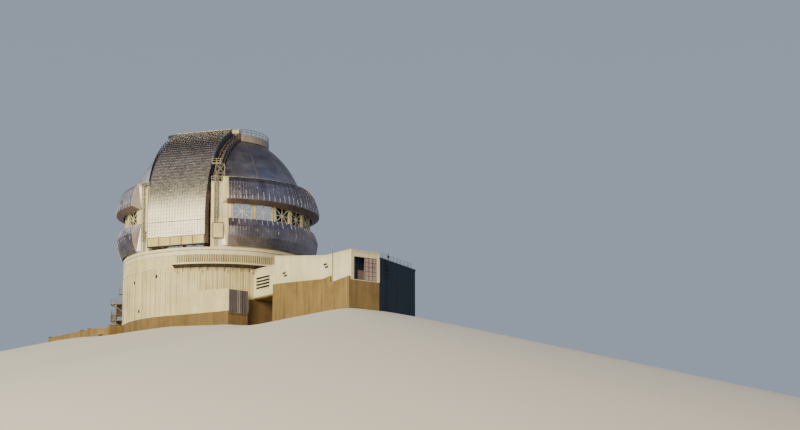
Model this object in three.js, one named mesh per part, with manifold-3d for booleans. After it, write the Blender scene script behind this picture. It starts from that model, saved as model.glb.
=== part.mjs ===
// An observatory dome with its round base building, support wing and side stair, as a 1:10 scale model.
// +X is right, +Y is away from the front, +Z is up, and the origin is on the dome's axis at ground level.
// Lengths below are metres of the full-size building, and `metre` turns them into model millimetres.

import * as THREE from 'three';
import { mergeVertices } from 'three/addons/utils/BufferGeometryUtils.js';
import Module from 'manifold-3d';

const wasm = await Module();
wasm.setup();

const metre = 100;
const joint = 0.003; // touching pieces stay this far apart, 0.3 mm in the model
const facet = 5; // degrees of arc to one flat facet of a round wall

// Round base building
const drumRadius = 18.1;
const drumWall = 0.35;
const drumSegments = 4;
const plinthRadius = 18.25;
const plinthTop = 2.7;
const plinthStep = { from: 15, to: 75, top: 5.7 }; // azimuths where the plinth rises to the wing's floor
const dripHeight = 11.8;
const dripDepth = 0.06;
const bandInner = 17.3;
const bandRadius = 18.15;
const bandBottom = 14.1;
const bandTop = 14.9;
const railInner = 17.5;
const railOuter = 17.8;

// Canopy round the front of the drum, with azimuths from the front, positive to the right
const awningFrom = -25.5;
const awningTo = 33.8;
const awningRoot = drumRadius + 0.02;
const awningEdge = 19.8;
const awningTop = 12.3;

// Low block in front of the drum, with the roller door in its right-hand end
const blockPlan = [[-7.46, -16.4], [2.13, -22.5], [5.76, -20.1], [4.2, -17.7], [0, -15]];
const blockTop = 6.85;
const blockWall = 0.3;
const blockRoof = 0.25;
const blockDoor = { from: 0.4, to: 4.0, sill: 2.85, head: 6.4, setback: 0.12, thickness: 0.08 };

// Support wing, along its own axis from the drum towards the front right
const wingStart = [6.98, -16.85];
const wingAngle = -57;
const wingLength = 31;
const wingWidth = 6.2;
const wingWall = 0.3;
const wingSlab = 0.3; // thickness of the wing's floors and roofs
const sideEave = 0.1; // overhang of the roofs past the long walls
const endEave = 0.15;
const wingBottom = 5.3;
const wingHighTop = 13.03;
const wingLowTop = 10.75;
const wingLevelFrom = 23;
const linkEnd = 6.9;
const linkBottom = 6.03;
const linkTop = 11.4;
const louvre = { from: 0.64, to: 5.2, bottom: 7.3, top: 10 };
const endOpening = { from: 0.55, to: 5.7, bottom: 5.42, top: 9.6 };
const doorLeafFrom = 3.05;
const baseWall = 0.5;
const baseOutline = [
  [linkEnd, 0], [wingLength, 0], [wingLength, 5.85], [25.2, 5.4], [25.2, 6.6], [22.8, 6.35],
  [21.3, 6.5], [8.5, 7.5], [linkEnd, 7.55],
];
const mast = { distance: 25.5, radius: 0.06, top: 12.5 };

// Annex behind the wing, in the wing's own plan
const annexPlan = [
  [wingLength, wingWidth + joint], [24.6, 19.2], [12.6, 19.2], [12.6, wingWidth + joint],
];
const annexTop = 10;

// Yard wall, as stretches from one plan point to the next
const yardThickness = 0.4;
const yardPath = [[-17.4, -3.7], [-20.3, -5.2], [-24.3, -2.2], [-25.8, -0.1], [-32.4, 9.2], [-34.5, 11.6]];
const yardTops = [2.5, 1.9, 1.8, 1.9, 0.9];
const yardPier = { half: 0.35, top: 2.1 };
const culvert = { at: 0.42, width: 1.1, height: 0.8 };

// Steel stair on the drum's left side, with its lanes along Y
const outerLane = [-20.4, -19.45];
const innerLane = [-19.35, -18.3];
const landingFront = -1.2;
const flightStart = 0.6;
const tread = 0.28;
const landingDepth = 1.3;
const landingThickness = 0.15;
const landingHeights = [4.1, 7.3];
const topPlatform = { outer: -18.9, top: 9.3, depth: 1.2 };

// Rotating dome
const slitTurn = 25.5; // degrees that the slit faces left of the front
const domeCentre = 24.15;
const ringBottom = 15;
const ringTop = 15.5;
const ringInner = 17.2;
const ringRadius = 18.2;
const shellRadius = 16.9;
const shellThickness = 0.3;
const shellFoot = 28;
const pierInner = 16.95;
const pierOuter = 18;
const pierTop = 28;
const pierFrom = 21.2;
const pierTo = 33.4;
const rearWallTop = domeCentre - joint;
const rearShelf = { inner: 14.85, depth: 0.4 };
const rearShellRadius = 15.2;
const rearShellFrom = 62;
const rearShellTo = 150; // the slit stays open to the wind below this at the rear

// Vent openings beside the slit, with two rows of bays
const ventBays = 4; // along half of one side
const ventSill = 20.8;
const ventRail = 24;
const ventHead = 27.4;
const ventInner = 17.5;
const ventOuter = 17.9;
const ventPostHalf = 1.1; // degrees

// Arch girders on each side of the slit, with the shutter's guide rail along their inner edge
const girderInnerSide = 6.1;
const girderOuterSide = 7.6;
const girderInnerRadius = 14.5;
const girderOuterRadius = 15.8;
const guideRail = { width: 0.25, inner: 15.7, outer: 16.1 };

// Shutter, with its arc about a centre lower than the dome's and behind it
const shutterHalfWidth = 5.95;
const shutterBottom = 16;
const shutterStripTop = 17.75;
const shutterFace = 18.3;
const shutterArcRadius = 21.4;
const shutterArcCentre = 21.5;
const shutterSkin = 0.3;
const shutterFlange = 1.8;
const shutterEnd = 62.7; // degrees of arc from the front springing line to the upper edge
const guideShoes = [42, 58]; // degrees of arc of the shoes that bear on the girders
const guideShoeInset = [1, 1.95];

// Vent gates, which slide on a rail at each end
const gateFrom = 30.5;
const gateTo = 149.5;
const gatePlate = 0.3;
const gateEnd = 0.9; // degrees
const gateSeat = 18.08;

// Crown platforms beside the girders
const crownInner = 8.9;
const crownOuter = 9.8;
const crownTop = 39.45;
const crownKerb = 0.2;
const crownDeck = { drop: 0.4, thickness: 0.2 };

// Equipment cabinet on the right-hand front pier
const cabinet = { from: 22.4, to: 28.6, outer: 18.5, bottom: 17.2, top: 20.1 };

const radians = THREE.MathUtils.degToRad;

const paint = {
  cladding: new THREE.MeshStandardMaterial({ color: '#d8d2c4', roughness: 0.55, metalness: 0.1 }),
  concrete: new THREE.MeshStandardMaterial({ color: '#b59a76', roughness: 0.9, metalness: 0 }),
  aluminium: new THREE.MeshStandardMaterial({ color: '#9a949c', roughness: 0.4, metalness: 0.9 }),
  steel: new THREE.MeshStandardMaterial({ color: '#6d6257', roughness: 0.6, metalness: 0.5 }),
  door: new THREE.MeshStandardMaterial({ color: '#8b8d92', roughness: 0.5, metalness: 0.4 }),
  dark: new THREE.MeshStandardMaterial({ color: '#26303c', roughness: 0.6, metalness: 0.1 }),
};

const building = new THREE.Group();
const dome = new THREE.Group();
dome.rotation.z = radians(-slitTurn);
building.add(dome);

function addPiece(parent, name, geometry, material) {
  geometry.scale(metre, metre, metre);
  const mesh = new THREE.Mesh(geometry, material);
  mesh.name = name;
  parent.add(mesh);
  return mesh;
}

// Joins shared vertices and drops triangles without area, so that the surface is closed
function weld(geometry) {
  geometry.deleteAttribute('normal');
  geometry.deleteAttribute('uv');
  const merged = mergeVertices(geometry, 1e-5);
  const corners = Array.from(merged.index.array);
  const kept = [];
  for (let i = 0; i < corners.length; i += 3) {
    const [a, b, c] = corners.slice(i, i + 3);
    if (a !== b && b !== c && c !== a) kept.push(a, b, c);
  }
  merged.setIndex(kept);
  return merged;
}

// Solid of a profile of [radius, height] points, anticlockwise, turned about Z between two azimuths
function turned(profile, from, to, step = facet) {
  const segments = Math.max(1, Math.round((to - from) / step));
  const outline = profile.map(([radius, height]) => new THREE.Vector2(radius, height));
  const closedOutline = [...outline, outline[0].clone()];
  const solid = new THREE.LatheGeometry(closedOutline, segments, radians(from), radians(to - from));
  if (to - from < 360) {
    const lastColumn = segments * closedOutline.length;
    const index = Array.from(solid.index.array);
    for (const [a, b, c] of THREE.ShapeUtils.triangulateShape(outline, [])) {
      index.push(a, b, c, lastColumn + c, lastColumn + b, lastColumn + a);
    }
    solid.setIndex(index);
  }
  return weld(solid).rotateX(Math.PI / 2);
}

function ringProfile(inner, outer, bottom, top) {
  return [[inner, bottom], [outer, bottom], [outer, top], [inner, top]];
}

// Cylinder about the dome's axis, for cutting what stands against the drum
function drumCutter(radius) {
  return turned(ringProfile(0, radius, -1, 20), 0, 360);
}

// Prism of a plan outline of [x, y] points between two heights
function prism(points, bottom, top, holes = []) {
  const shape = new THREE.Shape(points.map(([x, y]) => new THREE.Vector2(x, y)));
  for (const hole of holes) {
    shape.holes.push(new THREE.Path(hole.map(([x, y]) => new THREE.Vector2(x, y))));
  }
  const geometry = new THREE.ExtrudeGeometry(shape, { depth: top - bottom, bevelEnabled: false });
  return weld(geometry.translate(0, 0, bottom));
}

// Wall of an elevation outline of [distance, height] points, standing along X from y to y + thickness
function wall(points, y, thickness, holes = []) {
  const geometry = prism(points, 0, thickness, holes);
  return geometry.rotateX(Math.PI / 2).translate(0, y + thickness, 0);
}

// Slab between x0 and x1 of a side outline of [forward, height] points, with forward along -Y
function across(points, x0, x1) {
  return prism(points, -x1, -x0).applyMatrix4(new THREE.Matrix4().makeBasis(
    new THREE.Vector3(0, -1, 0), new THREE.Vector3(0, 0, 1), new THREE.Vector3(-1, 0, 0)));
}

function rectangle(x0, y0, x1, y1) {
  return [[x0, y0], [x1, y0], [x1, y1], [x0, y1]];
}

function box(x0, x1, y0, y1, z0, z1) {
  return prism(rectangle(x0, y0, x1, y1), z0, z1);
}

// Moves a wall that stands along X to the plan line from start to end
function along(geometry, start, end) {
  const direction = Math.atan2(end[1] - start[1], end[0] - start[0]);
  return geometry.rotateZ(direction).translate(start[0], start[1], 0);
}

function distance(start, end) {
  return Math.hypot(end[0] - start[0], end[1] - start[1]);
}

// Plan outline of anticlockwise points, moved inwards by a depth
function inset(points, depth) {
  const sides = points.map((point, i) => {
    const next = points[(i + 1) % points.length];
    const length = distance(point, next);
    const x = (next[0] - point[0]) / length;
    const y = (next[1] - point[1]) / length;
    return { start: [point[0] - y * depth, point[1] + x * depth], x, y };
  });
  return sides.map((side, i) => {
    const before = sides[(i + sides.length - 1) % sides.length];
    const gap = [side.start[0] - before.start[0], side.start[1] - before.start[1]];
    const reach = (gap[0] * side.y - gap[1] * side.x) / (before.x * side.y - before.y * side.x);
    return [before.start[0] + before.x * reach, before.start[1] + before.y * reach];
  });
}

function toSolid(geometry) {
  return new wasm.Manifold(new wasm.Mesh({
    numProp: 3,
    vertProperties: new Float32Array(geometry.attributes.position.array),
    triVerts: new Uint32Array(geometry.index.array),
  }));
}

function fromSolid(solid) {
  const { vertProperties, triVerts } = solid.getMesh();
  const geometry = new THREE.BufferGeometry();
  geometry.setAttribute('position', new THREE.BufferAttribute(vertProperties, 3));
  geometry.setIndex(new THREE.BufferAttribute(triVerts, 1));
  return geometry;
}

function join(geometries) {
  return fromSolid(geometries.map(toSolid).reduce((whole, part) => whole.add(part)));
}

function cut(geometry, ...cutters) {
  return fromSolid(cutters.map(toSolid).reduce((whole, part) => whole.subtract(part), toSolid(geometry)));
}

function common(geometry, other) {
  return fromSolid(toSolid(geometry).intersect(toSolid(other)));
}

// Degrees of arc that leave half the joint between two segments at a radius
function jointAngle(radius) {
  return THREE.MathUtils.radToDeg(joint / radius) / 2;
}

function buildDrum() {
  const inner = drumRadius - drumWall;
  const plinthInner = inner - 0.35;
  addPiece(building, 'drum_floor', turned(ringProfile(0, plinthInner - joint, 0, plinthTop), 0, 360),
    paint.concrete);
  addPiece(building, 'drum_plinth', turned(ringProfile(plinthInner, plinthRadius, 0, plinthTop), 0, 360),
    paint.concrete);
  const wallFoot = plinthTop + joint;
  const step = ringProfile(drumRadius + joint, plinthRadius, wallFoot, plinthStep.top);
  addPiece(building, 'drum_plinth_step', turned(step, plinthStep.from, plinthStep.to), paint.concrete);
  const wallHead = bandBottom - joint;
  const wallProfile = [
    [inner, wallFoot], [drumRadius, wallFoot], [drumRadius, dripHeight],
    [drumRadius - dripDepth, dripHeight + 0.1], [drumRadius - dripDepth, wallHead], [inner, wallHead],
  ];
  const sweep = 360 / drumSegments;
  const gap = jointAngle(inner);
  for (let i = 0; i < drumSegments; i++) {
    const from = i * sweep - sweep / 2;
    addPiece(building, `drum_wall_${i + 1}`, turned(wallProfile, from + gap, from + sweep - gap),
      paint.cladding);
  }
  addPiece(building, 'drum_band', turned(ringProfile(bandInner, bandRadius, bandBottom, bandTop), 0, 360),
    paint.cladding);
  const railProfile = ringProfile(railInner, railOuter, bandTop + joint, ringBottom - joint);
  addPiece(building, 'dome_rail', turned(railProfile, 0, 360), paint.steel);
  const canopy = [
    [awningRoot, awningTop - 0.6], [awningEdge, awningTop - 0.2],
    [awningEdge, awningTop], [awningRoot, awningTop],
  ];
  addPiece(building, 'awning', turned(canopy, awningFrom, awningTo), paint.cladding);
}

function buildFrontBlock() {
  const [, corner, right] = blockPlan;
  const roofBottom = blockTop - blockRoof;
  const againstDrum = drumCutter(drumRadius + joint);
  const plinth = cut(prism(blockPlan, 0, plinthTop), drumCutter(plinthRadius + joint));
  addPiece(building, 'front_block_plinth', plinth, paint.concrete);
  const doorway = box(blockDoor.from, blockDoor.to, -1, blockWall + 0.4, blockDoor.sill, blockDoor.head);
  const walls = cut(prism(blockPlan, plinthTop + joint, roofBottom - joint),
    prism(inset(blockPlan, blockWall), 0, blockTop), againstDrum, along(doorway, corner, right));
  addPiece(building, 'front_block_walls', walls, paint.cladding);
  const door = box(blockDoor.from + joint, blockDoor.to - joint, blockDoor.setback,
    blockDoor.setback + blockDoor.thickness, blockDoor.sill + joint, blockDoor.head - joint);
  addPiece(building, 'roller_door', along(door, corner, right), paint.door);
  addPiece(building, 'front_block_roof', cut(prism(blockPlan, roofBottom, blockTop), againstDrum),
    paint.cladding);
}

function buildWing() {
  const wing = new THREE.Group();
  wing.position.set(wingStart[0] * metre, wingStart[1] * metre, 0);
  wing.rotation.z = radians(wingAngle);
  building.add(wing);
  const againstDrum = drumCutter(drumRadius + joint).translate(-wingStart[0], -wingStart[1], 0)
    .rotateZ(radians(-wingAngle));
  const rearSide = wingWidth - wingWall;
  const rearReach = -6;
  const floor = [
    [rearReach, linkBottom - wingSlab], [linkEnd - wingSlab, linkBottom - wingSlab],
    [linkEnd - wingSlab, wingBottom - wingSlab], [wingLength, wingBottom - wingSlab],
    [wingLength, wingBottom], [linkEnd, wingBottom], [linkEnd, linkBottom], [rearReach, linkBottom],
  ];
  addPiece(wing, 'wing_floor', cut(wall(floor, 0, wingWidth), againstDrum), paint.concrete);

  const highEave = wingHighTop - wingSlab - joint;
  const lowEave = wingLowTop - wingSlab - joint;
  const linkEave = linkTop - wingSlab - joint;
  const elevation = (from) => [
    [from, linkBottom + joint], [linkEnd + joint, linkBottom + joint], [linkEnd + joint, wingBottom + joint],
    [wingLength, wingBottom + joint], [wingLength, lowEave], [wingLevelFrom, lowEave], [linkEnd, highEave],
    [linkEnd, linkEave], [from, linkEave],
  ];
  const louvreHole = rectangle(louvre.from, louvre.bottom, louvre.to, louvre.top);
  addPiece(wing, 'wing_front_wall', cut(wall(elevation(-2), 0, wingWall, [louvreHole]), againstDrum),
    paint.cladding);
  addPiece(wing, 'wing_rear_wall', cut(wall(elevation(rearReach), rearSide, wingWall), againstDrum),
    paint.cladding);
  const louvrePanel = rectangle(louvre.from + joint, louvre.bottom + joint, louvre.to - joint,
    louvre.top - joint);
  addPiece(wing, 'louvre_panel', wall(louvrePanel, 0.1, 0.1), paint.steel);
  addPiece(wing, 'link_roof', cut(box(rearReach, linkEnd - joint, -sideEave, wingWidth + sideEave,
    linkTop - wingSlab, linkTop), againstDrum), paint.cladding);

  const insideFrom = wingWall + joint;
  const insideTo = rearSide - joint;
  const roofFall = (wingHighTop - wingLowTop) / (wingLevelFrom - linkEnd);
  addPiece(wing, 'wing_gable', box(linkEnd, linkEnd + wingWall, insideFrom, insideTo, linkEave,
    highEave - roofFall * wingWall), paint.cladding);
  const roofTo = wingLength + endEave;
  const slope = [
    [linkEnd, wingHighTop - wingSlab], [wingLevelFrom, wingLowTop - wingSlab],
    [roofTo, wingLowTop - wingSlab], [roofTo, wingLowTop], [wingLevelFrom, wingLowTop], [linkEnd, wingHighTop],
  ];
  addPiece(wing, 'wing_roof', wall(slope, -sideEave, wingWidth + 2 * sideEave), paint.cladding);

  const opening = rectangle(endOpening.from, endOpening.bottom, endOpening.to, endOpening.top);
  const endFrame = prism(rectangle(insideFrom, wingBottom + joint, insideTo, lowEave), 0, wingWall, [opening])
    .rotateX(Math.PI / 2).rotateZ(Math.PI / 2).translate(wingLength - wingWall, 0, 0);
  addPiece(wing, 'wing_end_frame', endFrame, paint.cladding);
  addPiece(wing, 'wing_door_leaf', box(wingLength - 0.22, wingLength - 0.12, doorLeafFrom,
    endOpening.to - joint, endOpening.bottom + joint, endOpening.top - joint), paint.door);
  buildWingBase(wing);
  buildAnnex(wing);
}

// Foundation walls under the wing, proud of its front wall, and the mast that stands on them
function buildWingBase(wing) {
  const front = -joint - baseWall;
  const top = wingBottom - wingSlab - joint;
  const ring = prism(rectangle(linkEnd, front, wingLength, wingWidth), 0, top,
    [rectangle(linkEnd + baseWall, front + baseWall, wingLength - baseWall, wingWidth - baseWall)]);
  addPiece(wing, 'wing_base', join([ring, wall(baseOutline, front, baseWall)]), paint.concrete);
  const [, , corner, ledge] = baseOutline;
  const slope = (corner[1] - ledge[1]) / (corner[0] - ledge[0]);
  const seat = ledge[1] + joint + (mast.distance + mast.radius - ledge[0]) * slope;
  const pole = weld(new THREE.CylinderGeometry(mast.radius, mast.radius, mast.top - seat, 8))
    .rotateX(Math.PI / 2).translate(mast.distance, -baseWall / 2, (mast.top + seat) / 2);
  addPiece(wing, 'mast', pole, paint.steel);
}

function buildAnnex(wing) {
  const roofBottom = annexTop - wingSlab;
  const behindWing = box(0, 2 * wingLength, wingWidth + joint, 2 * wingLength, 0, 2 * annexTop);
  addPiece(wing, 'annex_walls', prism(annexPlan, 0, roofBottom - joint, [inset(annexPlan, wingWall)]),
    paint.dark);
  addPiece(wing, 'annex_roof', common(prism(inset(annexPlan, -sideEave), roofBottom, annexTop), behindWing),
    paint.dark);
}

function buildYardWall() {
  const half = yardThickness / 2;
  const stretches = yardTops.map((top, i) => {
    const [start, end] = [yardPath[i], yardPath[i + 1]];
    return along(box(0, distance(start, end) + half, -half, half, 0, top), start, end);
  });
  const piers = [2, 3, 4].map((i) => {
    const [x, y] = yardPath[i];
    return box(x - yardPier.half, x + yardPier.half, y - yardPier.half, y + yardPier.half, 0, yardPier.top);
  });
  const [start, end] = [yardPath[1], yardPath[2]];
  const reach = culvert.at * distance(start, end);
  const opening = box(reach - culvert.width / 2, reach + culvert.width / 2, -1, 1, -1, culvert.height);
  addPiece(building, 'yard_wall', cut(join([...stretches, ...piers]), drumCutter(plinthRadius + joint),
    along(opening, start, end)), paint.concrete);
}

// Flight with saw-tooth steps from a start at y and z, climbing towards +Y or -Y, with its foot sunk
function flight(lane, y, z, steps, riser, direction, sunk) {
  const side = [[-y, z - sunk]];
  for (let i = 0; i < steps; i++) {
    const nose = -(y + direction * tread * i);
    side.push([nose, z + riser * i], [nose, z + riser * (i + 1)]);
  }
  const end = y + direction * tread * steps;
  side.push([-end, z + riser * steps], [-end, z + riser * steps - 0.35]);
  side.push([-(y + direction * 0.3), z - sunk]);
  return across(side, ...lane);
}

function landing(x0, x1, y0, y1, top) {
  return box(x0, x1, y0, y1, top - landingThickness, top);
}

// Two flights and their landings, from one height to the next
function stairStorey(bottom, top) {
  const steps = Math.round((top - bottom) / 2 / 0.2);
  const riser = (top - bottom) / 2 / steps;
  const turn = flightStart + tread * steps;
  const halfway = (bottom + top) / 2;
  const lap = 0.02;
  const columnX = (outerLane[1] + innerLane[0]) / 2;
  const column = (y, reach) => box(columnX - 0.1, columnX + 0.1, y - 0.1, y + 0.1, bottom, reach - 0.1);
  return join([
    flight(outerLane, flightStart, bottom, steps, riser, 1, 0),
    flight(innerLane, turn, halfway, steps, riser, -1, landingThickness),
    landing(outerLane[0], innerLane[1], turn - lap, turn + landingDepth, halfway),
    landing(outerLane[0], -17, landingFront, flightStart + lap, top),
    column(landingFront + 0.2, top),
    column(turn + landingDepth - 0.2, halfway),
  ]);
}

function buildStair() {
  const againstDrum = drumCutter(drumRadius + joint);
  const againstPlinth = turned(ringProfile(0, plinthRadius + joint, -1, plinthTop + joint), 0, 360);
  const lower = stairStorey(0, landingHeights[0]);
  addPiece(building, 'stair_lower', cut(lower, againstPlinth, againstDrum), paint.steel);
  const upper = stairStorey(landingHeights[0] + joint, landingHeights[1]);
  addPiece(building, 'stair_upper', cut(upper, againstDrum), paint.steel);
  const { outer, top, depth } = topPlatform;
  const bottom = landingHeights[1] + joint;
  const stile = (y) => box(outer, outer + 0.07, y, y + 0.07, bottom, top - 0.05);
  const parts = [landing(outer, -17, -depth, 0, top), stile(-depth / 2 - 0.3), stile(-depth / 2 + 0.3)];
  for (let z = bottom + 0.3; z < top - 0.3; z += 0.3) {
    parts.push(box(outer, outer + 0.05, -depth / 2 - 0.28, -depth / 2 + 0.35, z, z + 0.05));
  }
  addPiece(building, 'stair_top_ladder', cut(join(parts), againstDrum), paint.steel);
}

// Ring beam, piers and the walls between them
function buildDomeBase() {
  addPiece(dome, 'ring_beam', turned(ringProfile(ringInner, ringRadius, ringBottom, ringTop), 0, 360),
    paint.cladding);
  const foot = ringTop + joint;
  const gap = jointAngle(pierInner);
  const pierProfile = ringProfile(pierInner, pierOuter, foot, pierTop);
  const railProfile = ringProfile(pierOuter - 0.1, gateSeat - joint, foot, pierTop);
  for (const [side, sign] of [['right', 1], ['left', -1]]) {
    const span = (from, to) => (sign > 0 ? [from, to] : [-to, -from]);
    addPiece(dome, `front_pier_${side}`, join([turned(pierProfile, ...span(pierFrom, pierTo - gap)),
      turned(railProfile, ...span(gateFrom, gateFrom + gateEnd))]), paint.cladding);
    const front = ventFrame(...span(pierTo + gap, 90 - gap));
    const rear = ventFrame(...span(90 + gap, 180 - pierTo - gap));
    addPiece(dome, `vent_frame_${side}_front`, front, paint.cladding);
    addPiece(dome, `vent_frame_${side}_rear`, rear, paint.cladding);
  }
  const rearProfile = [
    [ringInner, foot], [pierOuter - 0.05, foot], [pierOuter - 0.05, rearWallTop],
    [rearShelf.inner, rearWallTop], [rearShelf.inner, rearWallTop - rearShelf.depth],
    [ringInner, rearWallTop - rearShelf.depth],
  ];
  const rear = [turned(rearProfile, 180 - pierTo + 1, 180 + pierTo - 1)];
  for (const [from, to, rail] of [[180 - pierTo + gap, 180 - pierFrom, gateTo - gateEnd],
    [180 + pierFrom, 180 + pierTo - gap, 360 - gateTo]]) {
    rear.push(turned(pierProfile, from, to), turned(railProfile, rail, rail + gateEnd));
  }
  addPiece(dome, 'rear_wall', join(rear), paint.aluminium);
  const body = turned(ringProfile(pierOuter - 0.1, cabinet.outer, cabinet.bottom, cabinet.top), cabinet.from,
    cabinet.to);
  const pierRoom = ringProfile(pierInner, pierOuter + joint, ringTop, pierTop);
  addPiece(dome, 'pier_cabinet', cut(body, turned(pierRoom, pierFrom, pierTo - gap)), paint.cladding);
}

// Apron, sill, rail, head and posts round half of one side's vent openings, fused
function ventFrame(from, to) {
  const parts = [
    turned(ringProfile(ventInner + 0.1, ventOuter, ringTop + joint, ventSill + 0.1), from, to),
    turned(ringProfile(ventInner, ventOuter, ventSill, ventSill + 0.3), from, to),
    turned(ringProfile(ventInner, ventOuter, ventRail, ventRail + 0.3), from, to),
    turned(ringProfile(16, ventOuter, ventHead, shellFoot), from, to),
  ];
  const bay = (to - from) / ventBays;
  for (let i = 0; i <= ventBays; i++) {
    const centre = from + i * bay;
    const start = Math.max(from, centre - ventPostHalf);
    const end = Math.min(to, centre + ventPostHalf);
    parts.push(turned(ringProfile(ventInner, ventOuter, ventSill + 0.2, ventHead + 0.1), start, end));
  }
  return join(parts);
}

// Sphere shell beside the girders, cut by the girder's outer side and by the vent frame's head
function buildShell() {
  const steps = 18;
  const shellArc = (radius, reverse) => {
    const points = [];
    for (let i = 0; i <= steps; i++) {
      const lift = THREE.MathUtils.lerp(1, 90, (reverse ? steps - i : i) / steps);
      points.push([radius * Math.cos(radians(lift)), domeCentre + radius * Math.sin(radians(lift))]);
    }
    return points;
  };
  const outer = shellArc(shellRadius, false);
  outer[steps][0] = 0;
  const inner = shellArc(shellRadius - shellThickness, true);
  inner[0][0] = 0;
  const sphere = turned([...outer, ...inner], 0, 360);
  const far = 20;
  const near = girderOuterSide + joint;
  for (const [side, sign] of [['right', 1], ['left', -1]]) {
    for (const [end, y0, y1] of [['front', -far, -joint / 2], ['rear', joint / 2, far]]) {
      const keep = sign > 0 ? box(near, far, y0, y1, shellFoot + joint, 50)
        : box(-far, -near, y0, y1, shellFoot + joint, 50);
      addPiece(dome, `shell_${side}_${end}`, common(sphere, keep), paint.aluminium);
    }
    const beside = sign > 0 ? box(near, far, -far, far, 30, 50) : box(-far, -near, -far, far, 30, 50);
    addPiece(dome, `crown_platform_${side}`, common(crownPlatform(sign * 90 - 45, sign * 90 + 45), beside),
      paint.cladding);
  }
}

// Curved kerb wall with a deck, standing on the shell
function crownPlatform(from, to) {
  const reach = shellRadius + joint;
  const kerb = crownOuter - crownKerb;
  const seat = domeCentre + Math.sqrt(reach * reach - kerb * kerb);
  const deckTop = crownTop - crownDeck.drop;
  const deckBottom = deckTop - crownDeck.thickness;
  return turned([
    [crownOuter, seat], [crownOuter, crownTop], [kerb, crownTop], [kerb, deckTop],
    [crownInner, deckTop], [crownInner, deckBottom], [kerb, deckBottom], [kerb, seat],
  ], from, to);
}

// Arc of [forward, height] points about a centre
function arc(centreForward, centreHeight, radius, from, to, steps) {
  const points = [];
  for (let i = 0; i <= steps; i++) {
    const angle = radians(THREE.MathUtils.lerp(from, to, i / steps));
    points.push([centreForward + radius * Math.cos(angle), centreHeight + radius * Math.sin(angle)]);
  }
  return points;
}

// Plate that bends round the slit's axis between two radii
function bentPlate(centreForward, centreHeight, inner, outer, from, to, steps, x0, x1) {
  return across([...arc(centreForward, centreHeight, outer, from, to, steps),
    ...arc(centreForward, centreHeight, inner, to, from, steps)], x0, x1);
}

// Range of x on one side of the slit, from two distances to its middle
function sideRange(sign, near, far) {
  return sign > 0 ? [near, far] : [-far, -near];
}

// Girders whose legs run down inside the piers, with guide rails that end at the pier tops
function buildArches() {
  const gap = jointAngle(pierInner);
  const pierRoom = ringProfile(pierInner - joint, 20, 0, pierTop + joint);
  const pierSpans = [[pierFrom - 2 * gap, pierTo - gap], [180 - pierTo + gap, 180 - pierFrom + 2 * gap]];
  const abovePiers = box(-10, 10, -20, 20, pierTop + joint, 50);
  for (const [side, sign] of [['right', 1], ['left', -1]]) {
    const girder = bentPlate(0, domeCentre, girderInnerRadius, girderOuterRadius, 0, 180, 36,
      ...sideRange(sign, girderInnerSide, girderOuterSide));
    const rail = bentPlate(0, domeCentre, guideRail.inner, guideRail.outer, 0, 180, 36,
      ...sideRange(sign, girderInnerSide, girderInnerSide + guideRail.width));
    const piers = pierSpans.map((span) => turned(pierRoom, ...sideRange(sign, ...span)));
    addPiece(dome, `arch_girder_${side}`, join([cut(girder, ...piers), common(rail, abovePiers)]),
      paint.steel);
  }
  const reach = girderInnerSide - joint;
  addPiece(dome, 'rear_shell', bentPlate(0, domeCentre, rearShellRadius - shellThickness, rearShellRadius,
    rearShellFrom, rearShellTo, 18, -reach, reach), paint.aluminium);
}

function buildShutter() {
  const half = shutterHalfWidth;
  const arcForward = shutterFace - shutterArcRadius;
  const inside = shutterFace - shutterSkin;
  const ring = (inset, from, to, steps) => arc(arcForward, shutterArcCentre, shutterArcRadius - inset,
    from, to, steps);
  addPiece(dome, 'shutter_curved_panel', across([...ring(0, 0, shutterEnd, 16),
    ...ring(shutterSkin, shutterEnd, 0, 16)], -half, half), paint.aluminium);
  addPiece(dome, 'shutter_lower_panel', across(rectangle(inside, shutterStripTop + joint, shutterFace,
    shutterArcCentre - joint), -half, half), paint.aluminium);
  addPiece(dome, 'shutter_bottom_strip', across(rectangle(inside, shutterBottom, shutterFace + 0.05,
    shutterStripTop), -half, half), paint.cladding);
  const flange = [
    [shutterFace - shutterFlange, shutterBottom + 0.2], [inside - joint, shutterBottom + 0.2],
    ...ring(shutterSkin + joint, 0, shutterEnd, 16), ...ring(shutterFlange, shutterEnd, 0, 16),
  ];
  const [shoeOuter, shoeInner] = guideShoeInset;
  for (const [side, sign] of [['right', 1], ['left', -1]]) {
    const shoes = guideShoes.map((angle) => bentPlate(arcForward, shutterArcCentre,
      shutterArcRadius - shoeInner, shutterArcRadius - shoeOuter, angle - 2, angle + 2, 1,
      ...sideRange(sign, half - 0.1, girderInnerSide - joint)));
    addPiece(dome, `shutter_flange_${side}`, join([across(flange, ...sideRange(sign, half - 0.3, half)),
      ...shoes]), paint.aluminium);
  }
}

// Gate plate of an outer profile with closed ends, open towards the dome
function gate(outer, inner, endInner, from, to) {
  const endProfile = [...outer, ...endInner];
  return join([
    turned([...outer, ...inner], from, to), turned(endProfile, from, from + gateEnd),
    turned(endProfile, to - gateEnd, to),
  ]);
}

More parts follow.
